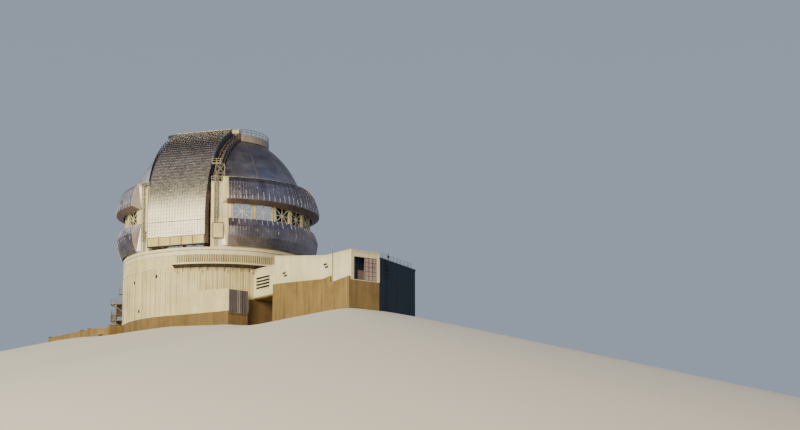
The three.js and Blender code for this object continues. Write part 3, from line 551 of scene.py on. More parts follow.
# Wing, worked out along its own axis: distance s from the drum, and w from its front wall to its rear. Its
# trim is bars from the first list of points to the second
wingStart, wingTurn = (6.98, -16.85), math.radians(-57)
louvre = {"from": 0.64, "to": 5.2, "bottom": 7.3, "top": 10.0, "slats": 5, "slat": 0.27, "thick": 0.05,
          "inset": 0.02, "out": -0.03, "frame": (-0.04, 0.07)}
wingForm = {
    "start": 0.1, "shoulder": 6.9, "knee": 23, "end": 31, "width": 6.2, "high": 13.0, "low": 10.72,
    "link": 11.37, "foot": 5.3, "linkFoot": 6.05, "doorway": (0.55, 5.7, 9.6), "headPitch": 0.36,
    "eaves": ([[6.9, -0.1, 13.0], [23, -0.1, 10.72], [31.1, -0.1, 10.72], [-0.1, -0.1, 11.37]],
              [[23, -0.1, 10.72], [31.1, -0.1, 10.72], [31.1, 6.3, 10.72], [6.9, -0.1, 11.37]], 0.1, 0.16),
    "corners": ([[31.0, 0.0, 5.3], [31.0, 6.2, 5.3], [6.9, 0.0, 11.4]],
                [[31.0, 0.0, 10.7], [31.0, 6.2, 10.7], [6.9, 0.0, 13.0]], 0.16),
    "doorTrim": ([[31.02, 0.55, 5.42], [31.02, 5.7, 5.42], [31.02, 0.55, 9.6]],
                 [[31.02, 0.55, 9.6], [31.02, 5.7, 9.6], [31.02, 5.7, 9.6]], 0.07)}


def wingPiece(name, parts, material):
    makePiece(name, [turnedPlan(joined(parts), wingTurn, wingStart)], material)


def makeWing(form, gap):
    shoulder, knee, end, width = (form[k] for k in ("shoulder", "knee", "end", "width"))
    foot, low, link, linkFoot = (level(form[k]) for k in ("foot", "low", "link", "linkFoot"))
    tops = [shoulder, knee, end], [form["high"], form["low"], form["low"]]
    parts = [ribbedPanel(form["start"], gap["from"], linkFoot, link),
             ribbedPanel(gap["from"], gap["to"], linkFoot, level(gap["bottom"])),
             ribbedPanel(gap["from"], gap["to"], level(gap["top"]), link),
             ribbedPanel(gap["to"], shoulder, linkFoot, link), ribbedPanel(shoulder, end, foot, tops)]
    # The end wall and the rear wall are made on the same axis and turned about the wing's corners
    near, far, head = form["doorway"]
    parts.append(turnedPlan(joined([
        ribbedPanel(0, near, foot, low),
        ribbedPanel(near, far, level(head), low, {**wallRibs, "pitch": form["headPitch"]}),
        ribbedPanel(far, width, foot, low)]), math.pi / 2, (end, 0)))
    rearTops = [0, end - knee, end - shoulder], [form["low"], form["low"], form["high"]]
    parts.append(turnedPlan(ribbedPanel(0, end - shoulder, foot, rearTops), math.pi, (end, width)))
    wingPiece("wingSheets", parts, whiteSheet)
    trim = [bars(*form[k]) for k in ("eaves", "corners", "doorTrim")]
    wingPiece("wingTrim", trim, whiteSheet)


# Louvre: sloping slats with four dark gaps between them
def makeLouvre(form):
    half, ends = form["slat"] / 2, np.array([form["from"], form["to"]])
    middles = np.linspace(form["bottom"] + half, form["top"] - half, form["slats"])
    start, end = (pointsAt(s, form["out"], middles) for s in ends + [form["inset"], -form["inset"]])
    slats = bars(start, end, form["thick"], form["slat"], (0, 0.3, 0.95))
    out, width = form["frame"]
    frameSides = bars(pointsAt(ends, out, form["bottom"]), pointsAt(ends, out, form["top"]), width)
    wingPiece("louvreSlats", [slats, frameSides], whiteSheet)


# Hooded wall vents in pairs, each with a dark slot under a sloping hood. The hood's profile is given as
# [w, height] from the pair's middle and the hood's own shift
ventHoods = {"places": [(10.2, 9.3), (23.3, 9.05)], "half": 0.55, "shifts": ((0.25, -0.25), (-0.3, 0.15)),
             "profile": [[0.02, 0.25], [-0.3, 0.02], [-0.3, -0.06], [0.02, -0.02]], "slot": (0.1, 0.3)}


def makeVentHoods(form):
    hoods, slots = [], []
    edge, drop = form["slot"]
    for s, z in form["places"]:
        for lift, shift in form["shifts"]:
            low, high, base = s - form["half"] + shift, s + form["half"] + shift, z + lift
            w, rise = np.array(form["profile"]).T
            hoods.append(sectionSolid(np.stack([pointsAt(x, w, base + rise) for x in (low, high)])))
            slots.append(box([low + edge, -0.1, base - drop], [high - edge, 0.0, base]))
    wingPiece("wingVentHoods", hoods, whiteSheet)
    # The slots are painted dark as the shade under the hoods
    wingPiece("wingVentSlots", slots, shadeDarkPaint)


# Door leaf of the wing's end with its stiles and rails. Some way inside the doorway stands a navy screen
# with pale glazing bars and a mauve hatch
wingDoor = {"face": 30.9, "from": 3.05, "to": 5.68, "foot": 5.44, "head": 9.58, "edge": 0.06, "columns": 3,
            "rows": 5, "bar": 0.07, "depth": 0.1}
wingScreen = {"face": 29.3, "thick": 0.08, "low": (0.3, 5.4), "high": (5.95, 9.9), "out": 0.04,
              "posts": (0.9, 5.9, 0.62), "postSpan": (5.42, 9.85), "post": 0.06, "cross": (6.4, 7.4, 8.4),
              "crossSpan": (0.35, 5.9), "crossBar": 0.05, "hatchLow": (0.02, 2.6, 5.42),
              "hatchHigh": (0.12, 4.0, 7.5)}


def makeWingDoor(form):
    face, edge, low, high = form["face"], form["edge"], form["from"], form["to"]
    u = np.linspace(low + edge, high - edge, form["columns"] + 1)
    v = np.linspace(form["foot"] + edge, form["head"] - edge, form["rows"] + 1)
    stiles = bars(pointsAt(face, u, form["foot"]), pointsAt(face, u, form["head"]), form["bar"], form["depth"],
                  (1, 0, 0))
    rails = bars(pointsAt(face, low, v), pointsAt(face, high, v), form["depth"], form["bar"])
    wingPiece("wingDoorFrame", [stiles, rails], girderSteel)


def makeWingScreen(form):
    face, out = form["face"], form["face"] + form["out"]
    screen = box([face - form["thick"], *form["low"]], [face, *form["high"]])
    wingPiece("wingScreen", [screen], screenSheet)
    posts, (foot, head), (low, high) = np.arange(*form["posts"]), form["postSpan"], form["crossSpan"]
    mullions = bars(pointsAt(out, posts, foot), pointsAt(out, posts, head), form["post"], reference=(1, 0, 0))
    cross = bars(pointsAt(out, low, form["cross"]), pointsAt(out, high, form["cross"]), form["crossBar"])
    wingPiece("wingScreenBars", [mullions, cross], galvanised)
    corners = [[face + form[k][0], *form[k][1:]] for k in ("hatchLow", "hatchHigh")]
    wingPiece("wingScreenHatch", [box(*corners)], pinkDoorSheet)


# Coping along the sloping top of the wing's foundation wall, and buttress strips down its face
wingBase = {"runs": [[(6.9, 7.55), (8.5, 7.5), (21.3, 6.5), (22.8, 6.35), (25.2, 6.6)],
                     [(25.2, 5.4), (30.95, 5.85)]],
            "middle": -0.26, "lift": 0.03, "coping": (0.48, 0.1), "strips": (10.5, 31, 4.0), "face": -0.5,
            "strip": (0.22, 0.08), "drop": 0.05,
            "tops": ([6.9, 21.3, 25.2, 25.21, 31], [7.5, 6.5, 6.6, 5.4, 5.85])}


def makeWingBase(form):
    parts = []
    for run in form["runs"]:
        s, z = np.array(run).T
        line = pointsAt(s, form["middle"], z + form["lift"])
        parts.append(bars(line[:-1], line[1:], *form["coping"]))
    joints = np.arange(*form["strips"])
    tops = np.interp(joints, *form["tops"]) - form["drop"]
    parts.append(bars(pointsAt(joints, form["face"], 0), pointsAt(joints, form["face"], tops), *form["strip"],
                      (0, 1, 0)))
    wingPiece("wingBaseCoping", parts, tanConcrete)


makeWing(wingForm, louvre)
makeLouvre(louvre)
makeVentHoods(ventHoods)
makeWingDoor(wingDoor)
makeWingScreen(wingScreen)
makeWingBase(wingBase)

# Annex: ribbed sheet on its three outer walls, painted nearly black as shade, a handrail round its roof,
# and a pole with short arms that turn from one to the next
annexForm = {
    "plan": [(31, 6.22), (24.6, 19.2), (12.6, 19.2), (12.6, 6.22)], "foot": 0.05, "top": 9.96, "roof": 10.0,
    "insets": [[-0.5, 0.3], [-0.4, -0.4], [0.4, -0.4], [0.4, 0.3]],
    "rail": {"spacing": 1.5, "height": 1.0, "post": 0.07, "rail": 0.06, "levels": [0.5, 0.98]},
    "pole": (30.0, 9.0), "poleTop": 11.2, "poleWidth": 0.12, "arms": [6.6, 7.3, 8.1, 8.8, 9.6, 10.5],
    "armReach": 0.45, "armTurn": 5, "arm": (0.16, 0.3)}


def makeAnnex(form):
    plan, foot = np.array(form["plan"]), form["foot"]
    sheets = [onLine(ribbedPanel(0, np.linalg.norm(b - a), level(foot), level(form["top"])), a, b)
              for a, b in zip(plan[:-1], plan[1:])]
    wingPiece("annexSheets", sheets, annexShadeSheet)
    edge = raised(plan + form["insets"], form["roof"])
    wingPiece("annexRail", [railing(edge, form["rail"])], galvanised)
    s, w = form["pole"]
    arms, turn = np.array(form["arms"]), np.array(form["arms"]) * form["armTurn"]
    middle = pointsAt(s, w, arms)
    reach = pointsAt(form["armReach"] * np.cos(turn), form["armReach"] * np.sin(turn), 0)
    pole = [bars([s, w, foot], [s, w, form["poleTop"]], form["poleWidth"], sides=8),
            bars(middle - reach, middle + reach, *form["arm"])]
    wingPiece("annexPole", pole, shadeDarkPaint)


makeAnnex(annexForm)
print("block and wing dressed")

# Handrails on the stair's flights and landings, and struts under them. A flight is its foot, its half
# landing and its top, with the y where it turns
stairForm = {
    "flights": ((0.0, 2.05, 4.1, 3.4), (4.1, 5.7, 7.3, 2.84)), "outer": -20.37, "middle": -19.4,
    "inner": -18.5, "wall": -18.35, "front": -1.17, "back": 0.6, "landing": 1.27,
    "top": [[-18.3, -1.17, 9.3], [-18.87, -1.17, 9.3], [-18.87, -0.03, 9.3], [-18.3, -0.03, 9.3]],
    "rail": {"spacing": 1.1, "height": 1.05, "post": 0.07, "rail": 0.06, "levels": [0.35, 0.7, 1.05]},
    "strutFoot": -18.2, "strutPlaces": (-1.05, 0.45), "strutDrop": 1.4, "strutRun": (-1.95, 0, 1.25),
    "strut": 0.12}


def makeStair(form):
    outer, front, back = form["outer"], form["front"], form["back"]
    runs = []
    for foot, half, top, turn in form["flights"]:
        end = turn + form["landing"]
        runs.append([[outer, back, foot], [outer, turn, half], [outer, end, half], [form["inner"], end, half]])
        runs.append([[form["middle"], turn, half], [form["middle"], back, top]])
        runs.append([[form["wall"], front, top], [outer, front, top], [outer, back, top]])
    runs.append(form["top"])
    makePiece("stairRails", [railing(run, form["rail"]) for run in runs], stairPaint)
    # Struts from the drum's wall to the outer edge of each landing
    feet = np.array([[form["strutFoot"], y, flight[2] - form["strutDrop"]]
                     for flight in form["flights"] for y in form["strutPlaces"]])
    makePiece("stairStruts", [bars(feet, feet + form["strutRun"], form["strut"])], stairPaint)


makeStair(stairForm)

# Coping on the yard wall's stretches, caps on its piers, and a grating in the culvert through the second
# stretch. The culvert is its place along the stretch, half its width and its top
yardForm = {
    "path": [[-17.7, -3.85], [-20.3, -5.2], [-24.3, -2.2], [-25.8, -0.1], [-32.4, 9.2], [-34.5, 11.6]],
    "tops": [2.5, 1.9, 1.8, 1.9, 0.9], "lift": 0.04, "coping": (0.5, 0.1), "piers": [2, 3, 4],
    "pier": (2.1, 0.12, 0.84), "culvert": (0.42, 0.54, 0.79), "slats": 8, "slat": (0.09, 0.12), "edge": 0.05,
    "shade": (0.08, 0.16)}


def makeYard(form):
    path, tops = np.array(form["path"]), np.array(form["tops"]) + form["lift"]
    low, thick, width = form["pier"]
    caps = path[form["piers"]]
    coping = [bars(raised(path[:-1], tops), raised(path[1:], tops), *form["coping"]),
              bars(raised(caps, low), raised(caps, low + thick), width)]
    makePiece("yardCoping", coping, tanConcrete)
    share, half, top = form["culvert"]
    middle = share * np.linalg.norm(path[2] - path[1])
    slats = np.linspace(middle - half + form["edge"], middle + half - form["edge"], form["slats"])
    grate = bars(pointsAt(slats, 0, 0), pointsAt(slats, 0, top), *form["slat"], (0, 1, 0))
    near, far = form["shade"]
    shade = box([middle - half, near, 0], [middle + half, far, top])
    makePiece("culvertGrate", [onLine(grate, path[1], path[2])], darkRailPaint)
    makePiece("culvertShade", [onLine(shade, path[1], path[2])], shadeDarkPaint)


makeYard(yardForm)
print("stair and yard dressed")


# Point of the dome from its distance to the slit's middle, a radius and an elevation from the front
def onArch(side, radius, lift, centre=(0.0, domeCentre)):
    side, radius, lift = np.broadcast_arrays(side, radius, lift)
    return np.stack([side, -(centre[0] + radius * np.cos(lift)), centre[1] + radius * np.sin(lift)], -1)


# Band of rectangular section that bends over the dome from one elevation to another
def archBand(sides, radii, lifts, centre=(0.0, domeCentre)):
    loop = np.array([[sides[0], radii[0]], [sides[1], radii[0]], [sides[1], radii[1]], [sides[0], radii[1]]])
    return sectionSolid(onArch(loop[None, :, 0], loop[None, :, 1], np.asarray(lifts)[:, None], centre))


# Arch girders: a box painted dark inside as shade, with laced chords on its top and sides, a guide rail, and
# legs inside the piers
girder = {"inner": 6.1, "outer": 7.6, "low": 14.5, "high": 15.8, "foot": 28.0, "panels": 38, "steps": 60,
          "chord": 0.2, "topLace": (0.13, 0.1), "tie": 0.1, "sideLace": (0.12, 0.1), "face": 0.06, "gap": 0.15,
          "rail": (15.7, 16.1), "railWidth": 0.24, "leg": (0.75, 0.85), "lap": 0.04, "web": (0.14, 0.1, 0.16)}


def makeGirders(form):
    low, high, count, chord, face, lap = (form[k] for k in ("low", "high", "panels", "chord", "face", "lap"))
    foot = math.asin((form["foot"] - domeCentre) / high)
    lifts = np.linspace(foot, math.pi - foot, form["steps"] + 1)
    nodes = np.linspace(foot + lap / 2, math.pi - foot - lap / 2, count)
    odd = np.arange(count) % 2 == 1
    for side, sign in halves:
        near, far = sign * form["inner"], sign * form["outer"]
        # Corner chords, each an angle-sized bar along one edge of the box
        parts = [archBand((u, u + sign * step), (r, r + chord), lifts)
                 for u, step in ((near, chord), (far, -chord)) for r in (low, high - chord)]
        top = onArch(np.where(odd, near + sign * chord, far - sign * chord), high - face, nodes)
        parts += [bars(top[:-1], top[1:], *form["topLace"], top[:-1] - (0, 0, domeCentre)),
                  bars(onArch(near, high - face, nodes), onArch(far, high - face, nodes), form["tie"])]
        for u in (near + sign * face, far - sign * face):
            zig = onArch(u, np.where(odd, low + form["gap"], high - form["gap"]), nodes)
            parts.append(bars(zig[:-1], zig[1:], *form["sideLace"]))
        parts.append(archBand((near, near + sign * form["railWidth"]), form["rail"], lifts))
        width, depth = form["leg"]
        parts += [archBand((near, near + sign * width), (low, low + depth), np.linspace(*span, 6))
                  for span in ((0, foot + lap), (math.pi - foot - lap, math.pi))]
        makePiece("archLattice_" + side, parts, girderSteel, "dome", ["arch_girder_" + side])
        inset, rise, drop = form["web"]
        web = archBand((near + sign * inset, far - sign * inset), (low + rise, high - drop), lifts)
        makePiece("archWebs_" + side, [web], girderWebShade, "dome")


makeGirders(girder)

# Shutter: lapped aluminium sheets up its front and over its arc, with a standing seam at each joint, white
# blocks along its upper edge, a dark joint across its front and brown cheeks down its sides, painted as shade
shutter = {
    "half": 5.95, "face": 18.3, "stripTop": 17.76, "spring": 21.5, "radius": 21.4, "end": 62.6, "skin": 0.3,
    "lap": 0.7, "gap": 0.02, "step": 0.03, "seam": {"pitch": 0.58, "crown": 0.07, "web": 0.03, "height": 0.045},
    "blocks": 9, "blockGap": 0.12, "blockSpan": (-0.5, 0.08), "blockDepth": 0.3, "joint": (20.6, 20.69),
    "jointInset": 0.02, "jointFace": (0.001, 0.1), "cheekFoot": 16.3, "cheekEnd": 14.0,
    "cheekOut": (0.004, 0.03), "cheekDepth": (0.06, 1.75)}


# The face runs straight up to the springing line and then along the arc. Each sheet stands out most at its
# lower edge, where it laps over the one below, and the seams add their height across the width
def makeShutterSheets(form):
    half, face, spring, radius = (form[k] for k in ("half", "face", "spring", "radius"))
    seam = form["seam"]
    straight, forward = spring - form["stripTop"], face - radius
    length = straight + radius * math.radians(form["end"])
    count = int(length / form["lap"])
    edges = np.linspace(0, length, count + 1)
    run = np.stack([edges[:-1] + form["gap"], edges[1:]], 1).ravel()
    proud = np.tile([0.0, -form["step"]], count) - seam["height"]
    across, ridge = ribSteps(2 * half, *seam.values())
    lift = np.maximum(run - straight, 0) / radius
    height = spring + radius * np.sin(lift) - np.maximum(straight - run, 0)
    away = forward + radius * np.cos(lift)
    offset = np.concatenate([proud[:, None] + ridge[None, :], np.full((len(run), 2), -form["skin"])], 1)
    places = np.concatenate([across - half, [half, -half]])
    away = away[:, None] + offset * np.cos(lift)[:, None]
    height = height[:, None] + offset * np.sin(lift)[:, None]
    makePiece("shutterSheets", [sectionSolid(pointsAt(places, -away, height))], shutterPanels, "shutter",
              ["shutter_curved_panel", "shutter_lower_panel"])
    at, gap, centre = np.linspace(-half, half, form["blocks"] + 1), form["blockGap"], (forward, spring)
    top = np.radians([form["end"] + turn for turn in form["blockSpan"]])
    blocks = [archBand((low + gap, high - gap), (radius - form["blockDepth"], radius), top, centre)
              for low, high in zip(at[:-1], at[1:])]
    makePiece("shutterTopEdge", blocks, whiteSheet, "shutter")
    (back, front), (low, high), edge = form["jointFace"], form["joint"], half - form["jointInset"]
    joint = box([-edge, -face + back, low], [edge, -face + front, high])
    makePiece("shutterJoint", [joint], flangeShadePaint, "shutter")
    near, deep = form["cheekDepth"]
    arc = np.radians(np.linspace(0, form["cheekEnd"], 8))
    cheeks = []
    for sign in (1, -1):
        ends = sorted(sign * (half + out) for out in form["cheekOut"])
        cheeks.append(box([ends[0], -face + near, form["cheekFoot"]], [ends[1], -face + deep, spring]))
        cheeks.append(archBand(ends, (radius - deep, radius - near), arc, centre))
    makePiece("shutterCheeks", cheeks, cheekShadeSheet, "shutter")


# Drive housing on each girder beside the shutter's closed upper edge, on braced legs. It stands clear of the
# shutter's sweep, so it stays on the dome
drive = {"housing": (6.08, 7.55), "radii": (16.8, 17.42), "lifts": (65.6, 69.0), "foot": 15.78, "lap": 0.02,
         "legs": (6.25, 7.4), "legLifts": (66.0, 68.6), "leg": 0.12, "brace": 0.09, "tie": 0.1}


def makeDrives(form):
    for side, sign in halves:
        housing = archBand(sign * np.array(form["housing"]), form["radii"], np.radians(form["lifts"]))
        makePiece("driveHousing_" + side, [housing], creamSheet if side == "right" else darkRailPaint,
                  "dome")
        u, lifts = np.tile(sign * np.array(form["legs"]), 2), np.repeat(np.radians(form["legLifts"]), 2)
        feet, heads = onArch(u, form["foot"], lifts), onArch(u, form["radii"][0] + form["lap"], lifts)
        legs = [bars(feet, heads, form["leg"]), bars(feet, heads[[1, 0, 3, 2]], form["brace"]),
                bars(feet, heads[[2, 3, 0, 1]], form["brace"]), bars(feet[[0, 2]], feet[[1, 3]], form["tie"])]
        makePiece("driveLegs_" + side, legs, girderSteel, "dome")


makeDrives(drive)

# Frame of the straw-coloured strip along the foot of the shutter, in bays, and the seal under it, painted
# dark as the shadow along its foot
strip = {"foot": 16.0, "top": 17.75, "face": 18.35, "bays": 5, "half": 5.95, "out": 0.02, "edge": 0.06,
         "upright": (0.14, 0.08), "railRise": (0.06, -0.05), "rail": (0.1, 0.08), "sealOut": 0.1,
         "sealBack": 17.9, "sealRise": (-0.12, -0.005)}


def makeShutterStrip(form):
    half, foot, top, y = form["half"], form["foot"], form["top"], -form["face"] - form["out"]
    at = np.linspace(-half + form["edge"], half - form["edge"], form["bays"] + 1)
    uprights = bars(pointsAt(at, y, foot), pointsAt(at, y, top), *form["upright"], (0, 1, 0))
    z = np.array([foot, top]) + form["railRise"]
    rails = bars(pointsAt(-half, y, z), pointsAt(half, y, z), *form["rail"])
    makePiece("shutterStripFrame", [uprights, rails], girderSteel, "shutter")
    low, high = (foot + rise for rise in form["sealRise"])
    seal = box([-half, -form["face"] - form["sealOut"], low], [half, -form["sealBack"], high])
    makePiece("shutterSeal", [seal], shadeDarkPaint, "shutter")


makeShutterSheets(shutter)
makeShutterStrip(strip)
print("girders and shutter dressed")

# Gates: ribbed sheet in one sweep, pale clips at the panel joints painted bright as glints, a bright eave line,
# splayed ends, painted grey as shade on the left, with white folds painted as sun glints, and a soffit painted
# brown as shade. Profiles are [radius, height]. A clip row is its edge of the profile, first joint, stride,
# width, the shares of the edge where it starts and ends, how far each of them varies, and a seed for that
gate = {
    "from": 30.5, "to": 149.5, "end": 0.9, "splay": 2.5, "panels": 34, "steps": 120, "seat": 18.08,
    "recess": 0.045, "middle": 19.5, "ribs": {"pitch": 0.585, "crown": 0.09, "web": 0.06, "rib": 0.018},
    "inset": 0.03, "seam": 0.05, "clipDepth": 0.08, "eaves": (72, 108), "foldThick": 0.03,
    "soffit": [[18.32, 23.88], [19.7, 24.55], [19.7, 24.58], [18.32, 23.91]],
    "upper": {
        "outer": [[18.3, 23.9], [19.75, 24.6], [19.75, 25.2], [19.35, 26.8], [18.9, 28.1], [18.2, 29.1],
                  [16.4, 29.4]],
        "inner": [[16.45, 29.1], [18, 28.85], [18.6, 28], [19.05, 26.75], [19.45, 25.15], [19.4, 24.85],
                  [18.3, 24.2]],
        "end": [[16.45, 29.08], [17.2, 28.4], [18.08, 28.1], [18.08, 23.95]], "meet": 23.97, "splayTop": 28.1,
        "fold": (24.2, 28.05, 18.27, 28.9), "firstSeam": 1,
        "clips": [(1, 0, 1, 0.07, (0.1, 1), (0, 0), 0), (2, 0, 1, 0.07, (0, 0.1), (0, 0.6), 1),
                  (3, 1, 3, 0.1, (0.1, 0.25), (0, 0), 0)],
        "eave": [[18.1, 29.0], [18.19, 28.98], [18.19, 29.09], [18.1, 29.11]]},
    "lower": {
        "outer": [[18.5, 15.85], [19.25, 17.6], [19.5, 19.4], [18.9, 21.05]],
        "inner": [[18.6, 21.04], [19.2, 19.4], [18.95, 17.6], [18.3, 15.87]],
        "end": [[18.08, 21.05], [18.08, 15.85]], "meet": 21.0, "splayTop": 21.05,
        "fold": (20.9, 15.9, 18.53, 15.88), "firstSeam": 0,
        "clips": [(2, 0, 1, 0.07, (0.85, 0.95), (-0.6, 0), 5), (1, 0, 2, 0.06, (0.35, 0.75), (0.3, 0), 9)],
        "eave": [[18.78, 20.98], [18.88, 20.98], [18.88, 21.04], [18.78, 21.04]]}}


# Sheet swept round between the gate's ends. Its outer face lies a little inside the profile, and the ribs
# bring it out again, but not where the upper gate's foot sits on the wall
def gateSheet(tier, sign, form):
    low, high = math.radians(form["from"]), math.radians(form["to"])
    along, proud = ribSteps((high - low) * form["middle"], *form["ribs"].values())
    seated = [r < form["seat"] + 0.25 and z < 24 for r, z in tier["outer"]]
    mask = [0 if flat else 1 for flat in seated] + [0] * len(tier["inner"])
    return sweptRing(tier["outer"] + tier["inner"], sign * (low + along / form["middle"]),
                     proud - form["recess"], mask)


# Strips over a profile's edges: bars from share p to share q of each edge, at the given azimuths
def gateStrips(profile, edges, azimuths, p, q, width, depth):
    profile = np.asarray(profile, float)
    p, q = np.broadcast_to(p, len(azimuths)), np.broadcast_to(q, len(azimuths))
    parts = []
    for e in edges:
        a, b = (profile[e] + np.outer(share, profile[e + 1] - profile[e]) for share in (p, q))
        parts.append(axisBars(azimuths, a.T, b.T, width, depth, True))
    return joined(parts)


# Splayed end: the end's profile narrows to the gate's inner edge, some degrees nearer the slit. The points
# between the first and last meet at the height given, so that the splay folds along one slanting line
def splayedEnd(outline, meet, azimuth, turn, seat):
    outline = np.asarray(outline, float)
    near = around(outline[:, 0], azimuth, outline[:, 1])
    order = np.arange(len(outline))
    heights = np.where((order > 0) & (outline[:, 0] > seat + 0.3), meet + 0.02 * order, outline[:, 1])
    far = around(seat + 0.01 + (outline[:, 0] - seat) * 0.02, azimuth + turn, heights)
    return sectionSolid(np.stack([near, far]))


# Fixed shares from 0 to 1 that look irregular, from the fraction of a large sine
def uneven(count, start):
    return np.abs(np.sin((np.arange(count) + start) * 12.99) * 437.5) % 1


def makeGate(form, name, side, sign, fine):
    tier, body, title = form[name], name + "_gate_" + side, name + "Gate"
    outer, seat, (low, high) = tier["outer"], form["seat"], fine[[0, -1]]
    end, splay = math.radians(form["end"]), math.radians(form["splay"])
    joints = np.linspace(low, high, form["panels"] + 1)[1:-1]
    sheet = gateSheet(tier, sign, form)
    makePiece(title + "Sheet_" + side, [sheet], gatePanels, body, [body])
    inset = [[r - form["inset"], z] for r, z in outer]
    seams = gateStrips(inset, range(tier["firstSeam"], len(outer) - 1), sign * joints, 0, 1, form["seam"],
                       form["seam"])
    makePiece(title + "Seams_" + side, [seams], gatePanels, body)
    clips = []
    for edge, first, stride, width, shares, spreads, seed in tier["clips"]:
        at = joints[first::stride]
        p, q = (share + spread * uneven(len(at), seed) for share, spread in zip(shares, spreads))
        clips.append(gateStrips(inset, (edge,), sign * at, p, q, width, form["clipDepth"]))
    makePiece(title + "GlintClips_" + side, clips, glintClipPaint, body)
    front, rear = np.radians(form["eaves"])
    eave = [sweptRing(tier["eave"], sign * span) for span in (fine[fine < front], fine[fine > rear])]
    makePiece(title + "Eave_" + side, eave, whiteSheet, body)
    proud = [p for p in outer[1:] if p[0] > seat + 0.1]
    outline = [[seat, outer[0][1] + 0.05], *proud, [seat, tier["splayTop"]]]
    if name == "lower":
        outline.insert(1, outer[0])
    top, foot, cornerRadius, cornerHeight = tier["fold"]
    ends, splays, folds = [], [], []
    for a, turn in ((low, -1), (high, 1)):
        ends.append(sweptRing(outer + tier["end"], sign * (a - turn * np.array([0.0, end]))))
        splays.append(splayedEnd(outline, tier["meet"], sign * a, sign * turn * splay, seat))
        inner = sign * (a + turn * splay)
        points = np.stack([around(seat + 0.03, inner, top), around(seat + 0.03, inner, foot),
                           around(cornerRadius, sign * a, cornerHeight)])
        folds.append(sectionSolid(np.stack([points, points + around(form["foldThick"], sign * a, 0.0)])))
    # The left gates' ends take a grey paint as shade where the right's are cream, and the folds are painted
    # white as sun glints
    endPaint = creamSheet if side == "right" else shadedEndPaint
    makePiece(title + "Ends_" + side, ends + splays, endPaint, body)
    makePiece(title + "GlintFolds_" + side, folds, foldGlintPaint, body)


def makeGates(form):
    fine = np.linspace(math.radians(form["from"]), math.radians(form["to"]), form["steps"] + 1)
    for side, sign in halves:
        for name in ("upper", "lower"):
            makeGate(form, name, side, sign, fine)
        soffit = sweptRing(form["soffit"], sign * fine)
        makePiece("upperGateSoffit_" + side, [soffit], gateSoffitShade, "upper_gate_" + side)


makeGates(gate)

# Vent bays: an eight-armed star brace in each bay of both rows, and paired mullions between bays
vents = {"from": 33.4, "bays": 8, "arms": 8, "radius": 17.7, "rows": [(21.1, 24.0), (24.3, 27.4)], "post": 1.1,
         "arm": (0.13, 0.08), "hub": 0.5, "hubOut": 0.07, "mullion": (0.16, 0.1), "mullionFace": 17.93,
         "mullionShift": 0.017, "mullionSpan": (21.0, 27.5)}


def makeVentStars(form):
    bay = (180 - 2 * form["from"]) / form["bays"]
    middles = form["from"] + (np.arange(form["bays"]) + 0.5) * bay
    reach, count, radius = bay / 2 - form["post"], form["arms"], form["radius"]
    turns = np.arange(count) * 2 * np.pi / count
    across, rise = (np.tile(np.sign(np.round(f(turns), 6)), form["bays"]) for f in (np.cos, np.sin))
    for side, sign in halves:
        parts = []
        for low, high in form["rows"]:
            centre, half = (low + high) / 2, (high - low) / 2
            a = np.repeat(middles, count)
            tips = around(radius, np.radians(sign * (a + across * reach)), centre + rise * half)
            at = np.radians(sign * a)
            parts.append(bars(around(radius, at, centre), tips, *form["arm"], around(1.0, at, 0)))
            at = np.radians(sign * middles)
            hub, out = around(radius, at, centre), around(form["hubOut"], at, 0)
            parts.append(bars(hub - out, hub + out, form["hub"], sides=8))
        makePiece("ventStars_" + side, parts, whiteSheet, "dome")
        posts = np.radians(sign * (form["from"] + bay * np.arange(1, form["bays"])))
        start, end = ((form["mullionFace"], z) for z in form["mullionSpan"])
        parts = [axisBars(posts + shift * form["mullionShift"], start, end, *form["mullion"], True)
                 for shift in (-1, 1)]
        makePiece("ventMullions_" + side, parts, creamSheet, "dome")


makeVentStars(vents)
print("gates and vents dressed")

# Front piers: a duct, a flat panel, a caged ladder and a small deck on each, and the frame of the cabinet on
# the right one. The cage starts higher on the right, over the cabinet
pier = {
    "duct": (21.4, 23.2), "ductSection": [[17.95, 19.3], [18.3, 19.3], [18.3, 27.7], [17.95, 27.95]],
    "panel": (25.6, 27.8), "panelSection": [[17.95, 19.4], [18.08, 19.4], [18.08, 27.6], [17.95, 27.6]],
    "ladder": 24.4, "face": 18.2, "foot": 15.6, "head": 28.3, "above": 1.0, "halfTurn": 0.013, "stile": 0.08,
    "rungs": (0.2, 0.9, 0.33), "rung": 0.05, "cage": 0.42, "cageDepth": 1.3, "cageFace": 18.25,
    "cageFoot": {"right": 21.1, "left": 17.6}, "hoop": (0.9, 0.05),
    "deck": (21.4, 30.2), "deckSection": [[17.0, 28.02], [18.1, 28.02], [18.1, 28.12], [17.0, 28.12]],
    "railFoot": (18.02, 28.12),
    "rail": {"spacing": 0.9, "height": 1.0, "post": 0.06, "rail": 0.05, "levels": [0.5, 0.98]}}
cabinet = {"turns": (22.4, 28.6), "low": 17.2, "high": 20.1, "face": 18.53, "bar": 0.12}


